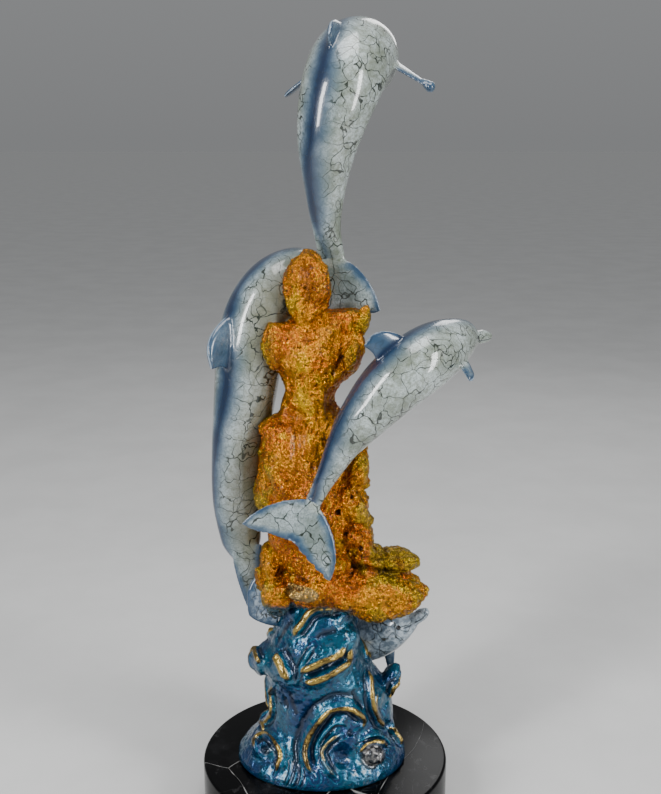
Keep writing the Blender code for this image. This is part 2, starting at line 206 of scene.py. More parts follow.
def relaxed(mesh, rounds, strength=0.5, weight=None):
    """Smooths a mesh: each point moves towards the middle of its neighbours."""
    edges = np.empty(len(mesh.edges) * 2, np.int32)
    mesh.edges.foreach_get("vertices", edges)
    a, b = edges.reshape(-1, 2).T
    count = len(mesh.vertices)
    near = np.bincount(a, minlength=count) + np.bincount(b, minlength=count)
    points = vectors(mesh)
    amount = strength if weight is None else strength * weight[:, None]
    for _ in range(rounds):
        total = np.empty_like(points)
        for axis in range(3):
            total[:, axis] = np.bincount(a, points[b, axis], count) + np.bincount(b, points[a, axis], count)
        points += (total / near[:, None] - points) * amount
    move_to(mesh, points)


def fused(name, bodies, voxel):
    """One closed skin round several closed bodies of drawn points."""
    form = bmesh.new()
    for points, faces in bodies:
        body = facing_out(mesh_of("body", placed(points), faces))
        form.from_mesh(body)
        bpy.data.meshes.remove(body)
    mesh = bpy.data.meshes.new(name)
    form.to_mesh(mesh)
    form.free()
    source = added(name + "_source", mesh)
    remesh = source.modifiers.new("skin", "REMESH")
    remesh.mode = "VOXEL"
    remesh.voxel_size = voxel
    graph = bpy.context.evaluated_depsgraph_get()
    skin = bpy.data.meshes.new_from_object(source.evaluated_get(graph))
    bpy.data.objects.remove(source, do_unlink=True)
    bpy.data.meshes.remove(mesh)
    skin.name = name
    return skin


def remember(mesh, **fields):
    """Stores one number for each point under each field's name, for the materials to read."""
    for name, values in fields.items():
        stored = mesh.attributes.new(name, "FLOAT", "POINT")
        stored.data.foreach_set("value", np.asarray(values, np.float32))


def piece(mesh, node, material):
    """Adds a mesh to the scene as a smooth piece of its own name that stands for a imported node."""
    mesh.materials.clear()
    mesh.materials.append(material)
    mesh.shade_smooth()
    made = added(mesh.name, mesh)
    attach(made, "root")
    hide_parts(node)


def nearest_on(points, line):
    """For each point the gap to a line of joined points, the way from the line, its direction and share."""
    best = np.full(len(points), np.inf)
    share = np.zeros(len(points))
    away = np.zeros_like(points)
    along = np.zeros_like(points)
    steps = len(line) - 1
    for index in range(steps):
        start = line[index]
        step = line[index + 1] - start
        u = np.clip((points - start) @ step / (step @ step), 0.0, 1.0)
        apart = points - start - u[:, None] * step
        found = np.linalg.norm(apart, axis=1)
        closer = found < best
        best[closer] = found[closer]
        share[closer] = (index + u[closer]) / steps
        away[closer] = apart[closer]
        along[closer] = step / np.linalg.norm(step)
    return best, away, along, share


def roughened(points, size, octaves=3):
    """Cloudy noise from about -1 to 1 at each drawn point, with lumps of the given size."""
    return np.array([noise.fractal(Vector(point) / size, 0.8, 2.0, octaves) for point in points])


# Carving along routes that are read off the picture

# The camera's distance in front of the disc's middle, height above its underside, and its turn
CAMERA_AWAY = 1.049
CAMERA_HEIGHT = 0.6925
CAMERA_DOWN = math.radians(13.4)
CAMERA_RIGHT = math.radians(0.32)
LENS = 49.15
SENSOR = 36.0
# The picture's size in pixels. Routes and centres below are given in its pixels.
PICTURE_WIDE = 661
PICTURE_HIGH = 794
# How far a raised edge's swell reaches, as a share of its half thickness, and the gap to an edge that is
# stored where none is near, in drawn units
SWELL = 3.2
NO_EDGE = 40.0


def sight(px, py, turn=0.0):
    """Start and direction of the line of sight through a pixel, turned about Z in degrees."""
    reach = LENS / SENSOR * PICTURE_HIGH
    right = Vector((math.cos(CAMERA_RIGHT), -math.sin(CAMERA_RIGHT), 0.0))
    level = Vector((math.sin(CAMERA_RIGHT), math.cos(CAMERA_RIGHT), 0.0))
    ahead = level * math.cos(CAMERA_DOWN) - Vector((0.0, 0.0, math.sin(CAMERA_DOWN)))
    up = right.cross(ahead)
    way = ahead + right * ((px - PICTURE_WIDE / 2) / reach) + up * ((PICTURE_HIGH / 2 - py) / reach)
    start = Vector(drawn((0.0, -CAMERA_AWAY, CAMERA_HEIGHT + DISC_LOW.z)))
    spin = Matrix.Rotation(math.radians(turn), 3, "Z")
    return spin @ start, (spin @ way).normalized()


def tapered(end, share):
    """1 along a line, and at both its ends an even ease to 0 over a share of its length."""
    return ease(0.0, end, share) * ease(1.0, 1.0 - end, share)


class Relief:
    """Beads, swells, grooves and hollows on one mesh, gathered in drawn units and applied once, with painted
    shade kept for the hollows.
    """

    def __init__(self, mesh):
        self.mesh = mesh
        self.points = drawn(vectors(mesh))
        self.outward = vectors(mesh, "normal")
        self.tree = tree_of(self.points, mesh)
        # hollow holds the painted shade gathered for hollows, grooves and troughs
        self.high, self.low, self.gold, self.hollow = np.zeros((4, len(self.points)))
        self.gap = np.full(len(self.points), NO_EDGE)

    def under(self, route, turn=0.0):
        """The line on the surface below a smooth route of pixels. A turned route keeps to its own sector."""
        runs = [[]]
        for px, py, _ in traced([(px, py, 0) for px, py in route], 6 * len(route)):
            found = self.tree.ray_cast(*sight(px, py, turn))[0]
            if found is None:
                continue
            bearing = math.degrees(math.atan2(found.x, -found.y)) - turn
            if turn and abs((bearing + 180.0) % 360.0 - 180.0) > HIDDEN_SECTOR:
                runs.append([])
            else:
                runs[-1].append(found)
        return np.array(max(runs, key=len))

    def beside(self, line, reach):
        """Points within reach of a line, with their gap, side (1 is left of the way along it) and share."""
        low = line.min(axis=0) - reach
        high = line.max(axis=0) + reach
        near = np.flatnonzero(((self.points > low) & (self.points < high)).all(axis=1))
        gap, away, along, share = nearest_on(self.points[near], line)
        side = np.sign((np.cross(self.outward[near], along) * away).sum(axis=1))
        return near, gap, side, share

    def sink(self, near, depth, dark):
        """Keeps at each point the deepest cut and the darkest painted shade that is asked for."""
        self.low[near] = np.minimum(self.low[near], -depth)
        self.hollow[near] = np.maximum(self.hollow[near], dark)

    def ridge(self, route, half, height, inner, gold, turn=0.0):
        """A raised edge: a bead on a swell, steep towards its inner side with a trough below it that is
        darkened with painted shade.
        """
        line = self.under(route, turn)
        if len(line) < 6:
            return
        near, gap, side, share = self.beside(line, max(half * (SWELL + 3.0), 18.0))
        self.gap[near] = np.minimum(self.gap[near], gap)
        fade = tapered(0.16, share)
        size = half * (0.45 + 0.55 * fade)
        u = gap / size
        bead = np.sqrt(np.clip(1.0 - u * u, 0.0, 1.0)) * size * 0.75
        gentle = 1.0 - ease(0.5, SWELL, u)
        steep = 1.0 - ease(0.6, 1.5, u)
        lip = np.where(side * inner > 0, steep, gentle) * fade
        trough = np.where(side * inner >= 0, np.exp(-(((u - 2.0) / 0.8) ** 2)), 0.0) * fade
        self.high[near] = np.maximum(self.high[near], bead + height * lip)
        self.gold[near] = np.maximum(self.gold[near], gold * ease(1.15, 0.55, u) * tapered(0.10, share))
        self.sink(near, 0.75 * height * trough, trough)

    def groove(self, route, half, depth, dark=1.0, turn=0.0):
        """A rounded channel along a route, darkened with painted shade."""
        line = self.under(route, turn)
        if len(line) < 4:
            return
        near, gap, _, share = self.beside(line, half * 2.5)
        cut = np.exp(-((gap / half) ** 2)) * tapered(0.12, share)
        self.sink(near, depth * cut, dark * cut)

    def spot(self, px, py, turn=0.0):
        """The way to each point from the place on the surface below a pixel, or None beside it."""
        found = self.tree.ray_cast(*sight(px, py, turn))[0]
        return None if found is None else self.points - np.array(found)

    def bowl(self, centre, half, depth, dark=1.0, turn=0.0):
        """A rounded hollow, half wide and high as given, darkened with painted shade."""
        away = self.spot(*centre, turn)
        if away is None:
            return
        level = np.hypot(away[:, 0], away[:, 1])
        u = np.hypot(level / half[0], away[:, 2] / half[1])
        self.sink(slice(None), depth * (1.0 - ease(0.25, 1.0, u)), dark * (1.0 - ease(0.3, 1.0, u)))

    def knob(self, centre, half, height, rings):
        """A rounded boss, with rings round its middle of the given height."""
        gap = np.linalg.norm(self.spot(*centre), axis=1)
        lift = height * (1.0 - ease(0.35, 1.0, gap / half))
        ripple = rings * (0.5 + 0.5 * np.cos(gap * 1.5)) * ease(1.0, 0.8, gap / half)
        self.high = np.maximum(self.high, lift + ripple)

    def apply(self, extra, weight=1.0):
        """Moves the mesh by everything gathered and something extra."""
        total = (self.high + self.low * (1.0 - self.gold) + extra) * weight
        move_to(self.mesh, vectors(self.mesh) + self.outward * (total * UNIT)[:, None])


# Node materials


class Paint:
    """A material built from nodes."""

    def __init__(self, name):
        self.material = bpy.data.materials.new(name)
        self.material.use_nodes = True
        self.tree = self.material.node_tree
        self.shader = self.tree.nodes["Principled BSDF"]

    def node(self, kind, settings, inputs):
        made = self.tree.nodes.new("ShaderNode" + kind)
        for key, value in settings.items():
            setattr(made, key, value)
        for key, value in inputs.items():
            self.feed(value, made.inputs[key])
        return made

    def feed(self, value, socket):
        if isinstance(value, bpy.types.NodeSocket):
            self.tree.links.new(value, socket)
        elif isinstance(value, tuple) and len(value) == 3 and socket.type == "RGBA":
            socket.default_value = (*value, 1.0)
        else:
            socket.default_value = value

    def number(self, name):
        return self.node("Attribute", {"attribute_name": name}, {}).outputs["Fac"]

    def place(self):
        return self.node("TexCoord", {}, {}).outputs["Object"]

    def maths(self, operation, a, b=0.0):
        return self.node("Math", {"operation": operation}, {0: a, 1: b}).outputs[0]

    def times(self, a, b):
        return self.maths("MULTIPLY", a, b)

    def aimed(self, operation, a, b=(0.0, 0.0, 0.0)):
        return self.node("VectorMath", {"operation": operation}, {0: a, 1: b}).outputs[0]

    def stretched(self, vector, scale):
        return self.aimed("MULTIPLY", vector, scale)

    def bent_by(self, vector, scale, amount):
        """The vector pushed about by noise, in metres."""
        cloud = self.node("TexNoise", {}, {"Vector": vector, "Scale": scale, "Detail": 2.0}).outputs["Color"]
        pushed = self.stretched(self.aimed("SUBTRACT", cloud, (0.5, 0.5, 0.5)), (amount, amount, amount))
        return self.aimed("ADD", vector, pushed)

    def cloud(self, vector, scale, detail=3.0, roughness=0.5):
        inputs = {"Vector": vector, "Scale": scale, "Detail": detail, "Roughness": roughness}
        return self.node("TexNoise", {}, inputs).outputs["Fac"]

    def cells(self, vector, scale):
        """The distance to the middle of irregular cells, and each cell's chance colour."""
        made = self.node("TexVoronoi", {}, {"Vector": vector, "Scale": scale})
        return made.outputs["Distance"], made.outputs["Color"]

    def borders(self, vector, scale):
        """The distance to the border between irregular cells."""
        settings = {"feature": "DISTANCE_TO_EDGE"}
        return self.node("TexVoronoi", settings, {"Vector": vector, "Scale": scale}).outputs["Distance"]

    def span(self, value, low, high, bottom=0.0, top=1.0):
        """value from low..high to bottom..top, held at both ends, eased."""
        settings = {"interpolation_type": "SMOOTHSTEP"}
        inputs = {"Value": value, "From Min": low, "From Max": high, "To Min": bottom, "To Max": top}
        return self.node("MapRange", settings, inputs).outputs["Result"]

    def mix(self, share, a, b):
        made = self.node("Mix", {"data_type": "RGBA"}, {})
        self.feed(share, made.inputs[0])
        self.feed(a, made.inputs[6])
        self.feed(b, made.inputs[7])
        return made.outputs[2]

    def layers(self, colour, *rows):
        """Lays colours over a colour, each where a value runs from low to high, covering most there."""
        for value, low, high, most, tint in rows:
            colour = self.mix(self.span(value, low, high, 0.0, most), colour, tint)
        return colour

    def blend(self, share, a, b):
        made = self.node("Mix", {"data_type": "FLOAT"}, {})
        self.feed(share, made.inputs[0])
        self.feed(a, made.inputs[2])
        self.feed(b, made.inputs[3])
        return made.outputs[0]

    def bump(self, height, distance, strength=1.0, normal=None):
        inputs = {"Height": height, "Distance": distance, "Strength": strength}
        if normal is not None:
            inputs["Normal"] = normal
        return self.node("Bump", {}, inputs).outputs["Normal"]

    def finish(self, **sockets):
        names = {
            "colour": "Base Color",
            "roughness": "Roughness",
            "metallic": "Metallic",
            "normal": "Normal",
            "coat": "Coat Weight",
            "coat_roughness": "Coat Roughness",
            "specular": "Specular IOR Level",
        }
        for key, value in sockets.items():
            self.feed(value, self.shader.inputs[names[key]])
        return self.material


def dolphin_paint():
    """Pale glossy enamel with dark crackle, a blue back and blue, light-rimmed fins."""
    paint = Paint("dolphin_enamel")
    place = paint.place()
    wide = paint.cloud(place, 26.0, 4.0, 0.6)
    fine = paint.cloud(place, 170.0, 5.0, 0.7)
    speck = paint.cloud(place, 640.0, 2.0, 0.6)
    pale = paint.mix(paint.span(wide, 0.35, 0.65), (0.17, 0.20, 0.165), (0.40, 0.46, 0.455))
    pale = paint.layers(
        pale,
        (fine, 0.44, 0.62, 0.60, (0.125, 0.145, 0.10)),
        (speck, 0.50, 0.40, 0.35, (0.08, 0.092, 0.062)),
    )
    # Painted shade on the flanks and belly, away from the back, warmed as a painted reflection of the orange
    # coral
    pale = paint.mix(paint.times(paint.number("tone"), 0.62), pale, (0.125, 0.12, 0.08))

    # Silver-blue on the low dolphin, most on its tail fin: partly its own colour and partly painted light
    # that lifts it out of the shade under the coral shelf
    frost = paint.mix(paint.span(fine, 0.40, 0.62), (0.07, 0.11, 0.17), (0.42, 0.50, 0.58))
    pale = paint.mix(paint.number("frost"), pale, frost)

    # Blue along the back, and towards the fins' edges
    arc = paint.number("arc")
    fin = paint.number("fin")
    rim = paint.number("rim")
    wander = paint.blend(0.30, arc, paint.times(wide, 30.0))
    back = paint.span(wander, 4.0, 24.0, 1.0, 0.0)
    core = paint.span(wander, 4.0, 17.0, 1.0, 0.0)
    core = paint.times(core, paint.span(fin, 2.0, 8.0, 1.0, 0.45))
    on_fin = paint.span(fin, 1.0, 7.0)
    wander = paint.maths("ADD", rim, paint.span(wide, 0.3, 0.7, -3.0, 4.0))
    edge = paint.times(on_fin, paint.span(wander, 1.0, 14.0, 1.0, 0.0))
    soft_blue = paint.maths("MAXIMUM", edge, paint.times(on_fin, 0.25))
    soft_blue = paint.maths("MAXIMUM", back, soft_blue)
    deep_blue = paint.maths("MAXIMUM", core, paint.times(edge, paint.span(rim, 1.0, 9.0, 0.68, 0.10)))
    colour = paint.mix(paint.times(soft_blue, 0.94), pale, (0.028, 0.085, 0.160))
    colour = paint.mix(paint.times(deep_blue, 0.95), colour, (0.001, 0.008, 0.032))

    # Dark crackle: broken, curved cell borders, and rings
    swung = paint.bent_by(place, 42.0, 0.030)
    bent = paint.bent_by(swung, 200.0, 0.0024)
    cells = paint.borders(bent, 50.0)
    width = paint.span(paint.cloud(place, 75.0), 0.32, 0.70, 0.014, 0.040)
    crackle = paint.span(paint.maths("DIVIDE", cells, width), 0.45, 1.0, 1.0, 0.0)
    reach, chance = paint.cells(swung, 40.0)
    gap = paint.maths("SUBTRACT", reach, paint.span(chance, 0.35, 0.8, 0.20, 0.42))
    rings = paint.span(paint.maths("ABSOLUTE", gap), 0.010, 0.028, 1.0, 0.0)
    rings = paint.times(rings, paint.span(chance, 0.48, 0.52))
    crackle = paint.maths("MAXIMUM", crackle, paint.times(rings, 0.8))
    hair = paint.span(paint.borders(paint.bent_by(place, 90.0, 0.012), 120.0), 0.008, 0.040, 0.34, 0.0)
    crackle = paint.maths("MAXIMUM", crackle, hair)
    crackle = paint.times(crackle, paint.span(soft_blue, 0.25, 0.80, 0.95, 0.22))
    colour = paint.mix(crackle, colour, (0.010, 0.015, 0.010))

    # A thin light rim along each fin, and the dark eyes and mouth line
    light = paint.times(paint.span(rim, 0.5, 1.4, 1.0, 0.0), on_fin)
    colour = paint.mix(paint.times(light, 0.55), colour, (0.40, 0.50, 0.60))
    colour = paint.mix(paint.span(paint.number("mouth"), 0.5, 1.2, 0.9, 0.0), colour, (0.012, 0.02, 0.03))
    colour = paint.mix(paint.span(paint.number("eye"), 2.2, 2.9, 1.0, 0.0), colour, (0.005, 0.006, 0.008))
    normal = paint.bump(paint.times(crackle, -1.0), 0.0003, 0.5)
    normal = paint.bump(fine, 0.0002, 0.35, normal)
    return paint.finish(
        colour=colour, roughness=0.24, specular=0.35, coat=0.75, coat_roughness=0.04, normal=normal
    )


def coral_paint():
    """Glittering orange enamel with yellow, olive and red-brown in it, pale painted glints, painted shade in
    the pits, gilt at the foot.
    """
    paint = Paint("coral_enamel")
    place = paint.place()
    pit = paint.number("pit")
    smooth = paint.number("smooth")
    gilt = paint.number("gold")
    sea = paint.number("sea")
    wide = paint.cloud(place, 19.0, 3.0, 0.55)
    other = paint.cloud(paint.stretched(place, (1.4, 1.4, 0.6)), 36.0, 4.0, 0.6)
    fine = paint.cloud(place, 300.0, 5.0, 0.72)
    colour = paint.mix(paint.span(wide, 0.40, 0.56), (0.40, 0.155, 0.0), (0.33, 0.080, 0.0))
    colour = paint.layers(
        colour,
        (other, 0.56, 0.66, 0.90, (0.44, 0.26, 0.0)),
        (paint.number("olive"), 0.2, 1.0, 0.80, (0.24, 0.19, 0.002)),
        (other, 0.44, 0.34, 0.65, (0.15, 0.036, 0.0)),
    )
    colour = paint.mix(paint.times(smooth, 0.85), colour, (0.25, 0.068, 0.0))
    rough = paint.maths("SUBTRACT", 1.0, paint.times(smooth, 0.45))
    dark = paint.times(paint.span(fine, 0.50, 0.37, 0.0, 0.88), rough)
    colour = paint.mix(dark, colour, (0.055, 0.012, 0.001))
    # Painted shade in the pits, holes, grooves and wrinkle troughs; blue-green where the wave meets the foot
    colour = paint.layers(
        colour,
        (pit, 0.15, 0.9, 0.92, (0.022, 0.008, 0.002)),
        (sea, 0.2, 0.9, 0.92, (0.004, 0.060, 0.090)),
    )
    worn = paint.mix(paint.span(fine, 0.35, 0.65), (0.07, 0.045, 0.015), (0.40, 0.29, 0.12))
    colour = paint.mix(paint.span(gilt, 0.3, 0.8, 0.0, 0.9), colour, worn)

    # Glitter: grains that catch the light each in their own direction, and on some of them pale painted
    # glints
    _, chance = paint.cells(place, 760.0)
    painted_glint = paint.times(paint.span(chance, 0.66, 0.74), paint.span(pit, 0.5, 0.1))
    painted_glint = paint.times(painted_glint, paint.span(sea, 0.6, 0.2, 0.25, 1.0))
    painted_glint = paint.times(painted_glint, rough)
    colour = paint.mix(paint.times(painted_glint, 0.45), colour, (0.78, 0.42, 0.0))
    tilt = paint.aimed("SUBTRACT", chance, (0.5, 0.5, 0.5))
    facing = paint.node("TexCoord", {}, {}).outputs["Normal"]
    normal = paint.aimed("NORMALIZE", paint.aimed("ADD", facing, tilt))
    normal = paint.bump(fine, 0.0018, paint.times(rough, 0.70), normal)
    return paint.finish(
        colour=colour, roughness=0.24, metallic=0.78, coat=0.10, coat_roughness=0.06, normal=normal
    )


def wave_paint():
    """Deep blue enamel, navy painted shade in the hollows and teal on the swells, with rubbed gold on the
    edges.
    """
    paint = Paint("wave_enamel")
    place = paint.place()
    gold = paint.number("gold")
    hollow = paint.number("hollow")
    rise = paint.number("rise")
    silver = paint.number("silver")
    flow = paint.number("flow")
    bent = paint.bent_by(place, 34.0, 0.03)
    wide = paint.cloud(bent, 34.0, 4.0, 0.55)
    fine = paint.cloud(place, 210.0, 4.0, 0.6)
    phase = paint.maths("ADD", paint.times(flow, 1.25), paint.times(wide, 16.0))
    streak = paint.maths("SINE", phase)
    streaked = paint.times(paint.span(streak, 0.1, 1.0), paint.span(flow, 14.0, 5.0, 0.0, 0.34))
    colour = paint.mix(paint.span(wide, 0.38, 0.62), (0.001, 0.030, 0.105), (0.002, 0.066, 0.120))
    colour = paint.layers(colour, (rise, 0.25, 0.9, 0.55, (0.002, 0.105, 0.185)))
    colour = paint.mix(streaked, colour, (0.012, 0.170, 0.240))
    colour = paint.layers(
        colour,
        (fine, 0.56, 0.72, 0.45, (0.020, 0.190, 0.250)),
        (fine, 0.48, 0.34, 0.55, (0.001, 0.008, 0.022)),
        # Navy painted shade in the hollows
        (hollow, 0.1, 0.9, 0.85, (0.001, 0.006, 0.022)),
    )
    eye = paint.mix(paint.span(fine, 0.42, 0.60), (0.006, 0.006, 0.007), (0.16, 0.15, 0.14))
    colour = paint.mix(paint.times(silver, 0.92), colour, eye)
    worn = paint.maths("ADD", gold, paint.span(wide, 0.3, 0.7, -0.16, 0.10))
    rubbed = paint.span(worn, 0.30, 0.75)
    gilt = paint.mix(paint.span(wide, 0.36, 0.58), (0.060, 0.036, 0.008), (0.33, 0.225, 0.052))
    colour = paint.mix(rubbed, colour, gilt)
    normal = paint.bump(fine, 0.0018, 0.60)
    normal = paint.bump(paint.cloud(place, 110.0, 2.0, 0.5), 0.0034, 0.60, normal)
    roughness = paint.blend(rubbed, 0.18, 0.27)
    metallic = paint.blend(rubbed, 0.55, 0.95)
    return paint.finish(
        colour=colour, roughness=roughness, metallic=metallic, coat=0.45, coat_roughness=0.04, normal=normal
    )


def marble_paint():
    """Polished black marble with thin, broken white veins."""
    paint = Paint("black_marble")
    place = paint.place()
    bent = paint.bent_by(place, 7.0, 0.05)
    veins = paint.borders(paint.stretched(bent, (1.0, 0.45, 1.0)), 6.0)
    broken = paint.cloud(place, 16.0, 4.0, 0.6)
    width = paint.span(broken, 0.50, 0.72, 0.0004, 0.007)
    vein = paint.span(paint.maths("DIVIDE", veins, width), 0.3, 1.0, 1.0, 0.0)
    hairs = paint.borders(paint.bent_by(place, 30.0, 0.05), 26.0)
    thin = paint.span(broken, 0.52, 0.75, 0.0004, 0.016)
    hair = paint.span(paint.maths("DIVIDE", hairs, thin), 0.3, 1.0, 0.5, 0.0)
    cloudy = paint.cloud(bent, 22.0, 5.0, 0.65)
    colour = paint.mix(paint.span(cloudy, 0.50, 0.78), (0.0010, 0.0010, 0.0012), (0.010, 0.010, 0.011))
    fleck = paint.cloud(paint.stretched(place, (1.0, 0.5, 1.0)), 90.0, 3.0, 0.65)
    colour = paint.mix(paint.span(fleck, 0.60, 0.72, 0.0, 0.35), colour, (0.05, 0.05, 0.052))
    colour = paint.mix(paint.times(hair, 0.4), colour, (0.14, 0.14, 0.14))
    colour = paint.mix(paint.times(vein, 0.7), colour, (0.30, 0.30, 0.29))
    return paint.finish(colour=colour, roughness=0.18, specular=0.09)


# Dolphins

BODY_SIDES = 72
BODY_STATIONS = 150
FIN_STATIONS = 28
FIN_SECTION_POINTS = 24
NOTCH_DEPTH = 4.0
FIN_ROUND = 9.0
# Share of length of the eyes and their height on the section, and share of length of the forehead crease
EYE = (0.125, -0.05)
BROW = 0.077
# What the enamel reads as the way round from the back's middle, in drawn units: the least for a radian,
# what is added on a turned tail, what stands at both ends of the body, and the gap where nothing is near
ARC_LEAST = 17.0
ARC_TURNED = 45.0
ARC_ENDS = 60.0
FAR = 99.0
# Stations along the spine, and points at a time, when each point's place on the body is looked up
SPINE_STATIONS = 240
BATCH = 20000
# Share of a fin's length that its last section stands at
FIN_END = 0.985

# Share of length from beak tip to fluke joint, then half height, half width and lift of the
# section towards the back, as shares of the girth. The tail stock's size is added below.
BODY = (
    (0.000, 0.12, 0.13, -0.17),
    (0.030, 0.22, 0.21, -0.15),
    (0.078, 0.25, 0.25, -0.12),
    (0.096, 0.42, 0.38, -0.02),
    (0.128, 0.57, 0.53, 0.02),
    (0.200, 0.75, 0.74, 0.00),
    (0.300, 0.94, 0.95, 0.00),
    (0.390, 1.00, 1.00, 0.00),
    (0.480, 0.96, 0.98, 0.00),
    (0.560, 0.84, 0.84, 0.00),
    (0.640, 0.65, 0.62, 0.00),
    (0.720, 0.42, 0.38, 0.00),
    (0.800, 0.21, 0.16, 0.00),
    (0.900, 0.05, 0.02, 0.00),
    (1.000, 0.00, 0.00, 0.00),
)


class Dolphin:
    """Pose and girth of one dolphin. Spine points run from the beak to the fluke joint."""

    def __init__(self, spine, backs, girth, breadth, stock, tone=0.0, frost=0.0, skew=0.0):
        self.spine = by_length(spine)
        self.backs = evenly(backs)
        self.girth = girth
        self.breadth = breadth
        self.stock = stock
        self.tone = tone
        self.frost = frost
        self.skew = skew
        self.fins = []
        self.rims = []

    def frame(self, t):
        """Centre, direction to the tail, direction of the back and direction of the left side."""
        centre = Vector(read(self.spine, t))
        ahead = Vector(read(self.spine, max(t - 0.01, 0.0)))
        behind = Vector(read(self.spine, min(t + 0.01, 1.0)))
        tailward = (behind - ahead).normalized()
        back = Vector(read(self.backs, t))
        back = (back - tailward * back.dot(tailward)).normalized()
        return centre, tailward, back, tailward.cross(back)

    def size(self, t):
        """Half height, half width and lift of the section at t."""
        height, width, lift = read(BODY, t)
        tail = float(ease(0.45, 0.85, t))
        thin = 1.0 - 0.72 * float(ease(0.90, 1.0, t))
        return (
            (height + tail * self.stock[0] * thin) * self.girth,
            (width + tail * self.stock[1]) * self.breadth,
            lift * self.girth,
        )

    def at(self, t, up, side):
        """A point at t, with up and side as shares of the section's half height and half width."""
        centre, _, back, left = self.frame(t)
        height, width, lift = self.size(t)
        return centre + back * (up * height + lift) + left * (side * width)

    def body(self):
        # Stations crowd towards the beak, where the form changes fastest
        stations = [(step / (BODY_STATIONS - 1)) ** 1.4 for step in range(BODY_STATIONS)]
        return loft(turned(stations, BODY_SIDES, lambda t, turn: self.at(t, math.sin(turn), math.cos(turn))))

    def blade(self, front, rear, face, thickness, taper=0.62, blunt=2.5):
        """Adds a fin: both edges run from a start through a pull to the tip, which is rounded, blunt wide."""
        rear = (*rear, front[2] + (rear[0] - front[0]).normalized() * blunt)
        rings = []
        rim = []
        for index in range(FIN_STATIONS + 1):
            s = math.sin(0.5 * math.pi * index / FIN_STATIONS)
            lead = bent(*front, s * FIN_END)
            trail = bent(*rear, s * FIN_END)
            chord = trail - lead
            rounding = math.sqrt(1.0 - 0.9 * max(0.0, (s - 0.84) / 0.16) ** 2)
            lead += chord * 0.5 * (1.0 - rounding)
            chord *= rounding
            half = thickness * (1.0 - taper * s) / 2
            half *= 0.30 + 0.70 * rounding
            across = (face - chord.normalized() * face.dot(chord.normalized())).normalized()
            ring = []
            for side in range(FIN_SECTION_POINTS):
                turn = math.tau * side / FIN_SECTION_POINTS
                share = 0.5 - 0.5 * math.cos(turn)
                depth = math.sin(turn) * (1.0 - 0.45 * share)
                ring.append(lead + chord * share + across * half * depth)
            rings.append(ring)
            rim.append((lead, lead + chord))
        self.fins.append(loft(rings))
        self.rims.append(np.array([lead for lead, _ in rim] + [trail for _, trail in rim[::-1]]))

    def dorsal_fin(self, t, height, lean, sweep, thick=0.36):
        """The fin on the back, rooted round t, leaning to the left by lean, with its tip at t + sweep."""
        _, _, _, left = self.frame(t)
        front = (
            self.at(t - 0.07, 0.80, 0.0),
            self.at(t - 0.015, 1.0 + 1.15 * height, 0.60 * lean),
            self.at(t + sweep, 1.0 + 0.80 * height, lean),
        )
        rear = (
            self.at(t + 0.060, 0.80, 0.0),
            self.at(t + 0.012 + 0.5 * sweep, 1.0 + 0.30 * height, 0.60 * lean),
        )
        self.blade(front, rear, left, thick * self.girth, blunt=0.8 * FIN_ROUND)

    def pectoral_fin(self, root, side, reach, drop, sweep, up=-0.45, broad=1.15, thick=0.29, end=0.0):
        """A flipper at root: side is 1 for left and -1 for right, reach, drop and sweep are shares of girth.

        end is the half width of a drop-shaped end.
        """
        _, tailward, back, left = self.frame(root)
        tip = self.at(root + 0.02, -0.40, side * 0.70)
        tip += (left * side * reach - back * drop + tailward * sweep) * self.girth
        start = self.at(root - 0.035, up, side * 0.62)
        heel = self.at(root + 0.045, up, side * 0.62)
        front = (start, start.lerp(tip, 0.5), tip)
        rear = (heel, heel.lerp(tip + (heel - start).normalized() * FIN_ROUND, 0.5))
        self.blade(front, rear, back, thick * self.girth, 0.1, broad * FIN_ROUND)
        for share, size in ((0.86, 0.62 * end), (0.93, 0.85 * end), (1.0, end)):
            if end:
                middle = start.lerp(tip, share) + (heel - start).normalized() * 0.5 * FIN_ROUND
                self.fins.append(lobe(middle, (size, size, size), 0))

    def fluke_lobe(self, tip, pull, notch):
        """Half of the tail fin: its front edge bends through pull to tip, its rear edge starts at notch."""
        tip = Vector(tip)
        notch = Vector(notch)
        joint, tailward, back, _ = self.frame(1.0)
        outward = (tip - joint).normalized()
        front = (joint - tailward * 0.25 * self.girth, Vector(pull), tip)
        rear = (notch - outward * NOTCH_DEPTH, notch.lerp(tip, 0.5) + tailward * 3.0)
        self.blade(front, rear, back, 0.24 * self.girth)

    def turned_lobe(self, root, pull, tip, heel, thickness):
        """Half of a tail fin that is turned flat to the front: its rear edge runs from heel to the tip."""
        root = Vector(root)
        tip = Vector(tip)
        heel = Vector(heel)
        rear = (heel, heel.lerp(tip, 0.5) + (heel - root) * 0.12)
        self.blade((root, Vector(pull), tip), rear, Vector((0, -1, 0)), thickness)

    def across_body(self, points):
        """Place along the spine, then height and breadth as shares of the section, at each drawn point."""
        shares = np.linspace(0.0, 1.0, SPINE_STATIONS)
        frames = [self.frame(t) for t in shares]
        sizes = np.array([self.size(t) for t in shares])
        centres = np.array([centre for centre, _, _, _ in frames])
        backs = np.array([back for _, _, back, _ in frames])
        lefts = np.array([left for _, _, _, left in frames])
        nearest = np.empty(len(points), int)
        for start in range(0, len(points), BATCH):
            some = points[start : start + BATCH]
            gaps = ((some[:, None, :] - centres[None]) ** 2).sum(axis=2)
            nearest[start : start + BATCH] = gaps.argmin(axis=1)
        away = points - centres[nearest]
        height, width, lift = sizes[nearest].T
        up = ((away * backs[nearest]).sum(axis=1) - lift) / height
        side = (away * lefts[nearest]).sum(axis=1) / width
        return shares[nearest], up, side, height, width

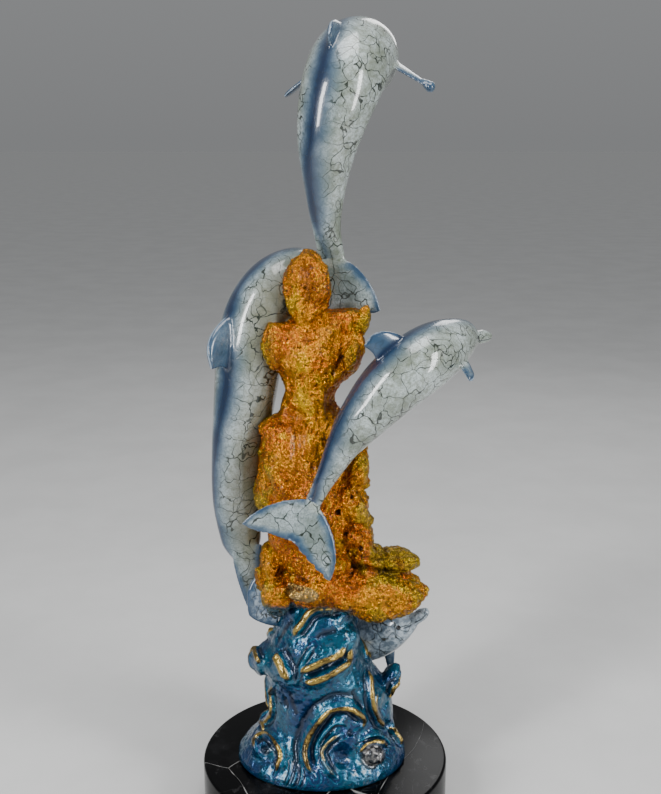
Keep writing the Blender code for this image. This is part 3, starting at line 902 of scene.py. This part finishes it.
    def piece(self, name, paint):
        """The whole dolphin as one piece, with what the enamel needs to know at each point."""
        body = self.body()
        skin = fused(name, [body, *self.fins], DOLPHIN_VOXEL)
        trunk = facing_out(mesh_of("trunk", *body))
        tree = tree_of(vectors(trunk), trunk)
        bpy.data.meshes.remove(trunk)

        def outside():
            return np.array([tree.find_nearest(Vector(point))[3] for point in drawn(vectors(skin))])

        # The fins' roots are smoothed most
        relaxed(skin, 3)
        gap = outside()
        root = np.where(gap > 0.4, np.exp(-((gap / 5.0) ** 2)), 0.0)
        relaxed(skin, 25, 0.5, root * np.exp(-(((gap - 1.0) / 3.5) ** 2)))
        relaxed(skin, 2)
        points = drawn(vectors(skin))
        t, up, side, height, width = self.across_body(points)
        bearing = np.abs(np.arctan2(side, up) - self.skew * ease(0.55, 0.85, t))
        arc = bearing * np.maximum(np.sqrt(height * width), ARC_LEAST)
        arc += ARC_TURNED * self.skew * ease(0.84, 0.97, t)
        arc = np.where((t > 0.10) & (t < 0.985), arc, ARC_ENDS)
        rim = eye = mouth = np.full(len(points), FAR)
        for line in self.rims:
            rim = np.minimum(rim, nearest_on(points, line)[0])
        for hand in (1, -1):
            centre = np.array(self.at(*EYE, hand))
            eye = np.minimum(eye, np.linalg.norm(points - centre, axis=1))
            lips = [self.at(s, -0.42, hand * 0.95) for s in np.linspace(0.0, 0.07, 10)]
            lips += [self.at(0.09, -0.42, hand * 0.93), self.at(0.112, -0.30, hand * 0.97)]
            mouth = np.minimum(mouth, nearest_on(points, np.array(lips))[0])
        brow = [self.at(BROW, math.sin(a), math.cos(a)) for a in np.linspace(-0.2, math.pi + 0.2, 24)]
        crease = nearest_on(points, np.array(brow))[0]
        remember(
            skin,
            arc=arc,
            fin=outside(),
            rim=rim,
            eye=eye,
            mouth=np.minimum(mouth, crease + 0.55),
            # Painted shade on the belly side, with the coral's orange painted in as reflection
            tone=self.tone * ease(8.0, 40.0, arc),
            # The low dolphin's silver-blue, partly painted light against the shelf's shade, most towards the
            # tail fin
            frost=self.frost * (0.75 + 0.25 * ease(0.93, 1.0, t)),
        )
        carved = np.exp(-((mouth / 0.9) ** 2)) * -0.7 + 0.9 * ease(3.2, 1.4, eye)
        carved -= 0.9 * np.exp(-((crease / 1.3) ** 2))
        move_to(skin, vectors(skin) + vectors(skin, "normal") * (carved * UNIT)[:, None])
        piece(skin, "bronze_group", paint)


def bent(start, through, end, s):
    """A point at s on the curve from start to end that through pulls to itself."""
    return start * (1 - s) ** 2 + through * (2 * s * (1 - s)) + end * s * s


def leaping():
    """The top dolphin: its back to the viewer, rising and arching away over the top."""
    dolphin = Dolphin(
        spine=(
            (18, 148, 656), (24, 131, 680), (33, 108, 700), (37, 82, 714), (33, 56, 719), (25, 32, 711),
            (17, 14, 693), (9, 6, 667), (3, 6, 636), (1, 10, 600), (2, 14, 560), (8, 18, 524),
        ),
        backs=(
            (-0.3, 0.8, 0.6), (-0.42, 0.2, 0.9), (-0.42, -0.4, 0.8), (-0.48, -0.88, 0.1), (-0.48, -0.88, 0),
            (-0.15, -1, 0),
        ),
        girth=39.0,
        breadth=40.0,
        stock=(0.32, 0.33),
        skew=0.28,
    )
    dolphin.dorsal_fin(0.442, 0.42, -0.21, 0.025)
    dolphin.pectoral_fin(0.36, 1, 1.33, -0.15, 0.08, up=0.22, thick=0.22)
    dolphin.pectoral_fin(0.36, -1, 0.90, 0.82, 0.06, up=-0.10, thick=0.17, end=5.2)
    dolphin.fluke_lobe((56, 6, 478), (44, 8, 524), (9, 14, 470))
    dolphin.fluke_lobe((-34, 22, 482), (-24, 18, 524), (9, 14, 470))
    return dolphin


def left_one():
    """The left dolphin: rising beside the coral and arching behind its top."""
    dolphin = Dolphin(
        spine=(
            (10, 116, 458), (3, 94, 482), (-10, 68, 501), (-27, 44, 509), (-47, 28, 499), (-64, 20, 474),
            (-74, 17, 440), (-79, 16, 400), (-84, 15, 360), (-88, 14, 320), (-90, 13, 280), (-87, 13, 242),
            (-78, 12, 198),
        ),
        backs=(
            (-0.1, 0.3, 1), (-0.4, -0.2, 1), (-0.78, -0.4, 0.6), (-0.55, -0.83, 0.1), (-0.75, -0.66, 0),
            (-0.95, -0.3, 0), (-1, -0.2, 0),
        ),
        girth=34.0,
        breadth=34.0,
        stock=(0.58, 0.34),
        # Painted belly shade and painted coral reflection on the side towards the coral
        tone=1.2,
    )
    dolphin.dorsal_fin(0.442, 0.98, -0.08, 0.031, thick=0.55)
    dolphin.pectoral_fin(0.27, -1, 0.2, 0.59, 0.72)
    dolphin.pectoral_fin(0.27, 1, 0.6, 0.75, 0.3)
    dolphin.turned_lobe((-98, 6, 236), (-94, -6, 200), (-77, -10, 163), (-64, 4, 236), 9.0)
    dolphin.fluke_lobe((-88, 54, 186), (-88, 44, 216), (-75, 12, 178))
    return dolphin


def right_one():
    """The right dolphin: its flukes across the coral, its front half out to the right."""
    dolphin = Dolphin(
        spine=(
            (168, 34, 453), (153, 25, 452), (138, 12, 450), (122, -8, 448), (104, -28, 442), (84, -42, 431),
            (62, -48, 413), (40, -50, 388), (20, -50, 360), (4, -51, 330), (-13, -53, 297),
        ),
        backs=((-0.2, -0.1, 1), (-0.4, -0.2, 0.9), (-0.7, -0.3, 0.6), (-0.8, -0.5, 0.3), (-0.5, -0.85, 0)),
        girth=31.0,
        breadth=32.0,
        stock=(0.30, 0.28),
    )
    dolphin.dorsal_fin(0.445, 0.84, 0.11, 0.032)
    dolphin.pectoral_fin(0.254, -1, 0.75, 0.48, 0.46, broad=1.7)
    dolphin.pectoral_fin(0.27, 1, 0.5, 0.8, 0.3)
    dolphin.fluke_lobe((-80, -68, 285), (-52, -66, 313), (-33, -68, 264))
    dolphin.fluke_lobe((6, -72, 226), (22, -66, 262), (-33, -68, 264))
    return dolphin


def low_one():
    """The low dolphin: bent behind the wave, its head out at the right and its tail at the left."""
    dolphin = Dolphin(
        spine=(
            (104, 2, 166), (92, 8, 153), (76, 18, 138), (56, 34, 122), (32, 52, 110), (4, 62, 106),
            (-24, 60, 116), (-42, 48, 136), (-48, 32, 162), (-52, 18, 176),
        ),
        backs=(
            (-0.6, 0.1, 0.8), (-0.6, 0.4, 0.7), (0, 0.8, 0.5), (0, 1, 0), (-0.9, 0.5, 0), (-0.9, -0.1, 0.3),
        ),
        girth=29.0,
        breadth=29.0,
        stock=(0.34, 0.30),
        # Silver-blue colour, partly painted light against the shade under the coral shelf
        frost=1.0,
    )
    dolphin.dorsal_fin(0.47, 0.7, 0.0, 0.05)
    dolphin.pectoral_fin(0.29, 1, 0.7, 0.8, 0.5)
    dolphin.pectoral_fin(0.29, -1, 0.7, 0.8, 0.5)
    dolphin.turned_lobe((-52, -4, 208), (-86, -12, 214), (-79, -15, 166), (-48, -6, 148), 18.0)
    dolphin.fluke_lobe((-62, 56, 150), (-68, 44, 184), (-55, 14, 144))
    return dolphin


# Coral rock

# Height, left, right, front and back of the trunk
TRUNK = (
    (140, -24, 14, -18, 18),
    (168, -36, 26, -30, 28),
    (188, -52, 40, -42, 36),
    (216, -48, 42, -42, 34),
    (240, -54, 42, -44, 33),
    (262, -58, 34, -46, 32),
    (285, -64, 36, -46, 30),
    (305, -68, 38, -46, 30),
    (332, -67, 38, -45, 30),
    (352, -62, 40, -43, 30),
    (368, -60, 26, -38, 28),
    (375, -44, 18, -32, 27),
    (386, -40, 8, -29, 26),
    (402, -39, 12, -27, 26),
    (418, -43, 28, -28, 28),
    (424, -50, 33, -29, 29),
    (436, -57, 34, -30, 30),
    (448, -58, 29, -29, 30),
    (460, -55, 31, -25, 30),
    (467, -45, 36, -21, 30),
    (472, -28, 38, -17, 29),
    (478, -24, 38, -12, 27),
)
# Centre, half size and turn about the view line, in degrees, of each lobe that grows from the trunk
LOBES = (
    ((-16, -14, 502), (21, 15, 36), 3),
    ((-47, -12, 446), (13, 14, 23), 6),
    ((25, -10, 438), (12, 18, 20), -20),
    ((37, -4, 470), (5, 8, 15), -14),
    ((-52, -8, 212), (13, 20, 30), 10),
    ((-46, -26, 190), (14, 16, 18), -10),
    ((34, -20, 250), (13, 22, 24), 0),
    ((30, -28, 290), (12, 18, 20), 15),
    ((32, -24, 324), (10, 18, 22), -10),
    ((-6, -36, 205), (26, 16, 18), 0),
    ((44, -14, 224), (18, 26, 16), 0),
    ((74, -12, 224), (22, 20, 11), 0),
)
# Distance along X, then lowest, highest, nearest and farthest of the shelf
SHELF = (
    (10, 176, 226, -48, 20),
    (34, 168, 226, -50, 22),
    (56, 166, 221, -50, 20),
    (76, 168, 212, -46, 16),
    (92, 176, 204, -38, 8),
    (101, 184, 198, -26, -4),
    (106, 189, 194, -20, -10),
)
ROCK_SIDES = 72
ROCK_STATIONS = 90
LOBE_SIDES = 36
LOBE_RINGS = 22


def rock(table, upright):
    """A lumpy body through a table's rings, level, or standing across X where upright is true."""

    def at(level, turn):
        lump = 1.0 + 0.045 * math.sin(3 * turn + level * 0.061)
        lump += 0.035 * math.sin(5 * turn - level * 0.093)
        first, second = oval(table, level, turn, lump)
        return (level, second, first) if upright else (first, second, level)

    return loft(turned(np.linspace(table[0][0], table[-1][0], ROCK_STATIONS), ROCK_SIDES, at))


def lobe(centre, half, turn):
    """A rounded, slightly lumpy body, turned about the view line by so many degrees."""
    turn = math.radians(turn)

    def at(pitch, yaw):
        lump = 1.0 + 0.07 * math.sin(2 * yaw + centre[2]) * math.cos(3 * pitch + centre[0])
        x = half[0] * math.cos(pitch) * math.cos(yaw) * lump
        y = half[1] * math.cos(pitch) * math.sin(yaw) * lump
        z = half[2] * math.sin(pitch) * lump
        level = centre[0] + x * math.cos(turn) - z * math.sin(turn)
        return level, centre[1] + y, centre[2] + x * math.sin(turn) + z * math.cos(turn)

    pitches = [math.pi * (step / (LOBE_RINGS + 1) - 0.5) for step in range(1, LOBE_RINGS + 1)]
    return loft(turned(pitches, LOBE_SIDES, at))


# Small knobs on the coral's right side, drips at its lower left and the gilt lump at its foot, as lobes
KNOBS = (
    ((37, -22, 312), (7, 9, 9), 20),
    ((22, -36, 300), (8, 8, 10), -15),
    ((38, -24, 272), (8, 10, 9), 0),
    ((28, -36, 258), (9, 9, 9), 0),
    ((40, -30, 236), (9, 10, 9), 0),
    ((14, -44, 232), (10, 8, 9), 10),
    ((-64, -16, 206), (6, 8, 13), 12),
    ((-56, -28, 196), (6, 8, 15), -6),
    ((-42, -38, 196), (7, 7, 12), 10),
    ((-22, -46, 203), (15, 8, 6), 8),
)
# Pixels of the smooth channel, the grooves, and the holes darkened with painted shade, with their half size
# and depth
CHANNEL = ((296, 420), (294, 440), (293, 462), (295, 482))
CORAL_GROOVES = (
    (((305, 264), (307, 280), (308, 296), (309, 308)), 5.0, 3.0),
    (((352, 336), (345, 350), (337, 366), (330, 378)), 2.6, 2.2),
    (((300, 338), (309, 341), (318, 339)), 2.0, 1.6),
    (((349, 564), (361, 567), (379, 571), (394, 575), (409, 579), (421, 584)), 3.2, 5.5),
    (((356, 556), (372, 559), (390, 558)), 2.2, 2.4),
    (((345, 584), (352, 572), (356, 560)), 3.0, 3.0),
    (((322, 430), (328, 452), (330, 470)), 3.0, 1.8),
    (((272, 578), (284, 572), (300, 577), (312, 586)), 2.4, 2.4),
)
CORAL_HOLES = (
    ((339, 512), 4.0, 5.0),
    ((352, 497), 3.0, 3.5),
    ((361, 549), 4.0, 4.5),
    ((353, 566), 3.5, 4.0),
    ((346, 534), 3.0, 3.0),
    ((279, 570), 3.0, 3.0),
)
# Centre in pixels, half width and height, depth and darkness of painted shade of the dent in the shelf's end
SHELF_DENT = ((422, 584), (7, 5), 4.0, 0.5)


def coral():
    """The coral rock with its folds, knobs, holes and wrinkled skin."""
    bodies = [rock(TRUNK, False), rock(SHELF, True)] + [lobe(*row) for row in LOBES + KNOBS]
    skin = fused("coral_rock", bodies, CORAL_VOXEL)
    relaxed(skin, 9)
    relief = Relief(skin)
    points = relief.points
    for route, half, depth in CORAL_GROOVES:
        relief.groove(route, half, depth, 0.5)
        relief.groove(route, half, depth, 0.5, 180.0)
    relief.bowl(*SHELF_DENT)
    for centre, half, depth in CORAL_HOLES:
        relief.bowl(centre, (half, half), depth)
    near, gap, _, _ = relief.beside(relief.under(CHANNEL), 24.0)
    smooth = np.zeros(len(points))
    smooth[near] = ease(17.0, 4.0, gap)
    near, gap, _, _ = relief.beside(relief.under(CORAL_GROOVES[0][0]), 10.0)
    smooth[near] = np.maximum(smooth[near], 0.6 * ease(8.0, 2.0, gap))
    lumps = roughened(points * (1.0, 1.0, 0.7), 21.0, 2)
    folds = 1.0 - 2.2 * np.abs(roughened(points * (1.0, 1.0, 0.5) + 40.0, 13.0, 2))
    wrinkles = 1.0 - 2.2 * np.abs(roughened(points - 70.0, 5.0, 2))
    grain = roughened(points + 15.0, 3.0, 1)
    rough = 1.0 - 0.85 * smooth
    carved = 2.0 * lumps + (1.6 * folds + 1.1 * wrinkles + 0.6 * grain) * rough - 2.4 * smooth
    relief.apply(carved)
    x, y, z = points.T
    olive = ease(0.0, 0.7, lumps + 0.5 * folds) * (ease(-40.0, -58.0, x) + ease(8.0, 30.0, x) * 0.8)
    upper_plate = ease(206.0, 214.0, z) * ease(40.0, 60.0, x)
    gilt = ((x + 22.0) / 16.0) ** 2 + ((z - 203.0) / 8.0) ** 2
    remember(
        skin,
        # Painted shade in the carved hollows and the wrinkles' troughs
        pit=np.clip(relief.hollow + ease(0.1, -0.9, wrinkles) * 0.5 * rough, 0.0, 1.0),
        smooth=smooth,
        olive=np.clip(olive + upper_plate, 0.0, 1.0),
        gold=ease(1.3, 0.8, gilt) * (y < -30.0),
        sea=ease(192.0, 182.0, z + 5.0 * lumps) * ease(34.0, 20.0, x),
    )
    piece(skin, "bronze_group", coral_paint())


# Wave

# Height, left, right, front and back of the wave
WAVE = (
    (0, -93, 86, -77, 70),
    (8, -92, 85, -76, 69),
    (18, -84, 79, -70, 63),
    (28, -74, 73, -63, 57),
    (42, -62, 68, -57, 52),
    (60, -58, 65, -54, 50),
    (78, -58, 66, -54, 50),
    (96, -62, 56, -55, 48),
    (112, -68, 42, -56, 46),
    (128, -60, 35, -54, 44),
    (146, -51, 33, -50, 42),
    (164, -46, 34, -45, 40),
    (182, -42, 32, -38, 34),
    (198, -30, 20, -26, 22),
)
WAVE_SIDES = 160
WAVE_STATIONS = 110
# Raised edges: route in pixels, half thickness and height in drawn units, inner side, share of gold
RIDGES = (
    (((347, 609), (336, 608), (324, 608), (316.5, 609), (309, 614), (303, 623), (297, 631), (293, 638)),
      3.6, 3.6, 1, 0.85),
    (((276, 653.5), (280, 660), (283.6, 668), (286.7, 675.6), (286, 680)), 5.4, 3.0, 1, 1.0),
    (((300, 674), (305, 669.5), (313, 666), (324, 660), (334, 656), (342, 650), (346, 645)), 4.0, 3.2, -1,
      1.0),
    (((302, 680), (309, 681), (318, 679), (328, 675), (336, 670), (343, 665), (346, 661), (349, 653),
      (352.5, 646)), 3.8, 3.2, 1, 1.0),
    (((313.5, 645), (306.6, 656.5), (300.4, 668), (296, 685)), 2.0, 2.2, 0, 0.0),
    (((259, 645), (256, 651), (258, 658), (261, 663)), 2.6, 2.0, 1, 1.0),
    (((275, 684), (272, 691), (273, 702), (273, 711), (269, 720), (262, 726)), 2.8, 2.4, 1, 1.0),
    (((275, 775), (279, 766), (281.5, 755.5), (278, 745), (272, 738), (264, 735), (258, 738), (255, 744),
      (256, 751)), 3.0, 3.0, 1, 1.0),
    (((315, 778), (308.5, 766), (306, 753), (308, 741), (313, 730), (320, 720), (328, 711), (338.5, 707),
      (350, 708), (358, 713), (363, 719), (362, 725), (356, 730)), 3.3, 4.2, -1, 1.0),
    (((348, 727.5), (341, 722), (334, 723), (326, 731), (319, 740), (316, 752), (317, 764)), 2.2, 2.4, 1,
      0.25),
    (((342, 734), (334, 738), (326.5, 744), (322, 752), (325, 763), (331, 772), (337, 778)), 2.6, 3.2, 1,
      0.6),
    (((359, 753), (365, 746), (373, 743), (382, 744), (388, 748)), 2.4, 2.4, -1, 1.0),
    (((358, 742), (367, 736), (377, 735), (385.5, 739.5), (391, 747)), 2.0, 2.2, -1, 0.0),
    (((367.5, 668.5), (369, 679), (370, 690), (371, 701), (373.5, 711), (378, 721.5), (385.5, 729)), 3.0,
      3.0, -1, 1.0),
    (((377, 692.5), (375, 701), (376, 709.6), (381, 718)), 1.8, 1.6, 0, 0.6),
    (((400, 671), (401, 676), (397, 682), (393, 686.5), (390, 692.5), (387, 698.5)), 2.8, 2.2, -1, 1.0),
    (((285, 786), (290, 772), (291, 757)), 1.2, 0.8, 0, 0.0),
    (((291, 788), (296, 775), (297, 760)), 1.2, 0.8, 0, 0.0),
    (((298, 788), (302, 777), (302, 764)), 1.2, 0.8, 0, 0.0),
)
# Grooves: route in pixels, half width and depth
GROOVES = (
    (((303, 676), (316, 672), (332, 665), (342, 657), (347, 649)), 2.4, 3.6),
    (((300, 780), (296, 762), (295, 745), (299, 729), (307, 714), (318, 703), (332, 696), (346, 695), (360,
      699)), 3.4, 2.6),
    (((288, 690), (292, 704), (297, 716)), 3.0, 1.6),
    (((352, 690), (357, 700), (364, 710)), 3.2, 2.2),
    (((315, 640), (324, 634), (338, 630)), 3.0, 1.6),
    (((292, 618), (284, 630), (276, 641)), 3.0, 1.8),
)
# Bowls: centre in pixels, half width and height, depth and darkness of painted shade. The first is the
# scroll's.
BOWLS = (
    ((341, 756), (14, 17), 5.5, 0.45),
    ((265, 750), (9, 9), 5.0, 1.0),
    ((285, 703), (5.5, 11), 4.0, 1.0),
    ((351, 733), (6, 5), 3.5, 1.0),
)
# Centre in pixels of the ringed silvery boss in the right scroll
BOSS = (373.5, 757)
# The pattern goes on round the hidden sides: turns about Z in degrees, half a side's width in degrees,
# numbers of the raised edges, and depth of the scroll's bowl
HIDDEN = (120, 240)
HIDDEN_SECTOR = 50.0
HIDDEN_RIDGES = (0, 2, 3, 7, 8, 9, 10, 11, 13)
HIDDEN_BOWL = 5.0
# Centre, half size and turn about the view line, in degrees, of the wave's rounded crests
CRESTS = (
    ((-63, -8, 114), (12, 20, 17), -20),
    ((10, -26, 144), (26, 22, 24), 25),
    ((68, -2, 86), (9, 14, 20), -28),
    ((62, -4, 56), (10, 20, 24), 10),
    ((48, -46, 25), (15, 12, 13), 0),
    ((-62, -34, 22), (15, 14, 14), 0),
    ((16, -50, 34), (20, 10, 24), 0),
)


def wave():
    """The wave's mass with its gilded scrolls, folds and bowls."""
    levels = np.linspace(WAVE[0][0], WAVE[-1][0], WAVE_STATIONS)
    rings = turned(levels, WAVE_SIDES, lambda level, turn: (*oval(WAVE, level, turn), level))
    bodies = [loft(rings)] + [lobe(*crest) for crest in CRESTS]
    skin = fused("wave_foot", bodies, WAVE_VOXEL)
    relaxed(skin, 12)
    relief = Relief(skin)
    for row in RIDGES:
        relief.ridge(*row)
    for row in GROOVES:
        relief.groove(*row)
    for row in BOWLS:
        relief.bowl(*row)
    relief.knob(BOSS, 14.0, 2.0, 1.3)
    centre, half, _, dark = BOWLS[0]
    for turn in HIDDEN:
        for number in HIDDEN_RIDGES:
            relief.ridge(*RIDGES[number], turn)
        for row in GROOVES[:2]:
            relief.groove(*row, 1.0, turn)
        relief.bowl(centre, half, HIDDEN_BOWL, dark, turn)
    points = relief.points
    swirl = roughened(points, 15.0, 2)
    dents = roughened(points + 31.0, 4.5, 2)
    standing = ease(0.5, 6.0, points[:, 2])
    relief.apply(1.1 * swirl + 0.45 * dents, standing)
    relaxed(skin, 1, 0.35)
    remember(
        skin,
        silver=ease(16.0, 10.0, np.linalg.norm(relief.spot(*BOSS), axis=1)),
        gold=relief.gold,
        # Painted shade in the grooves, bowls and troughs, left off the gold
        hollow=relief.hollow * (1.0 - relief.gold),
        rise=np.clip(relief.high / 4.0 + 0.3 * swirl, 0.0, 1.0),
        flow=relief.gap,
    )
    piece(skin, "bronze_group", wave_paint())


# Disc

DISC_SIDES = 240
# Rounding of the upper edge and chamfer of the lower one, in metres
BEVEL = 0.003
CHAMFER = 0.0005
BEVEL_STEPS = 6
# Edges bent by more than this are drawn sharp
SHARP = math.radians(40)


def disc():
    """The polished marble disc, turned, with a rounded upper edge."""
    radius = (DISC_HIGH.x - DISC_LOW.x) / 2
    height = DISC_HIGH.z - DISC_LOW.z
    outline = [(radius - CHAMFER, 0.0), (radius, CHAMFER)]
    for step in range(BEVEL_STEPS + 1):
        turn = 0.5 * math.pi * step / BEVEL_STEPS
        outline.append((radius - BEVEL + BEVEL * math.cos(turn), height - BEVEL + BEVEL * math.sin(turn)))

    def at(spot, turn):
        return spot[0] * math.cos(turn), spot[0] * math.sin(turn), DISC_LOW.z + spot[1]

    mesh = facing_out(mesh_of("marble_disc", *loft(turned(outline, DISC_SIDES, at))))
    piece(mesh, "marble_plinth", marble_paint())
    mesh.set_sharp_from_angle(angle=SHARP)


# Setting

# Half the floor's width, and how far it lies below the disc, in metres
FLOOR_HALF = 60.0
FLOOR_DROP = 0.0005
# Brightness of the sky at its foot and overhead
SKY_LOW = 0.22
SKY_HIGH = 0.46
# Name, place, width and height, and power of each softbox, and the point that all are turned to
SOFTBOXES = (
    ("softbox_left", (-1.3, -1.3, 1.1), (0.30, 1.4), 46.0),
    ("softbox_right", (1.5, -1.1, 1.0), (0.30, 1.4), 38.0),
    ("softbox_top", (0.1, -0.2, 2.0), (0.8, 0.8), 16.0),
    ("softbox_rear", (0.5, 1.7, 1.5), (0.4, 1.0), 5.0),
)
MIDDLE = Vector((0.0, 0.0, 0.42))


def floor():
    half = FLOOR_HALF
    corners = [(-half, -half, 0), (half, -half, 0), (half, half, 0), (-half, half, 0)]
    mesh = mesh_of("floor", corners, [(0, 1, 2, 3)])
    paint = Paint("floor_plaster")
    speckle = paint.cloud(paint.place(), 6.0, 4.0, 0.6)
    colour = paint.mix(paint.span(speckle, 0.3, 0.7), (0.57, 0.57, 0.565), (0.61, 0.61, 0.605))
    mesh.materials.append(paint.finish(colour=colour, roughness=0.8, specular=0.0))
    ground = added("floor", mesh)
    ground.location.z = -FLOOR_DROP


def softbox(name, place, size, power):
    light = bpy.data.lights.new(name, "AREA")
    light.shape = "RECTANGLE"
    light.size, light.size_y = size
    light.energy = power
    made = added(name, light)
    made.location = place
    made.rotation_mode = "QUATERNION"
    made.rotation_quaternion = (MIDDLE - Vector(place)).to_track_quat("-Z", "Y")


def sky():
    """A plain grey sky, lighter overhead, that meets the floor without an edge."""
    world = bpy.data.worlds.new("studio")
    world.use_nodes = True
    nodes = world.node_tree.nodes
    links = world.node_tree.links
    place = nodes.new("ShaderNodeTexCoord")
    apart = nodes.new("ShaderNodeSeparateXYZ")
    links.new(place.outputs["Generated"], apart.inputs[0])
    rise = nodes.new("ShaderNodeMapRange")
    rise.inputs["To Min"].default_value = SKY_LOW
    rise.inputs["To Max"].default_value = SKY_HIGH
    links.new(apart.outputs["Z"], rise.inputs["Value"])
    background = nodes["Background"]
    background.inputs["Color"].default_value = (0.96, 0.98, 1.0, 1.0)
    links.new(rise.outputs["Result"], background.inputs["Strength"])
    return world


def setting():
    floor()
    for row in SOFTBOXES:
        softbox(*row)
    bpy.context.scene.world = sky()
    camera = added("camera", bpy.data.cameras.new("camera"))
    camera.data.lens = LENS
    camera.data.sensor_width = SENSOR
    camera.location = (0.0, -CAMERA_AWAY, CAMERA_HEIGHT + DISC_LOW.z)
    camera.rotation_euler = (math.pi / 2 - CAMERA_DOWN, 0.0, -CAMERA_RIGHT)
    bpy.context.scene.camera = camera


enamel = dolphin_paint()
leaping().piece("dolphin_leaping", enamel)
left_one().piece("dolphin_left", enamel)
right_one().piece("dolphin_right", enamel)
low_one().piece("dolphin_low", enamel)
coral()
wave()
disc()
setting()
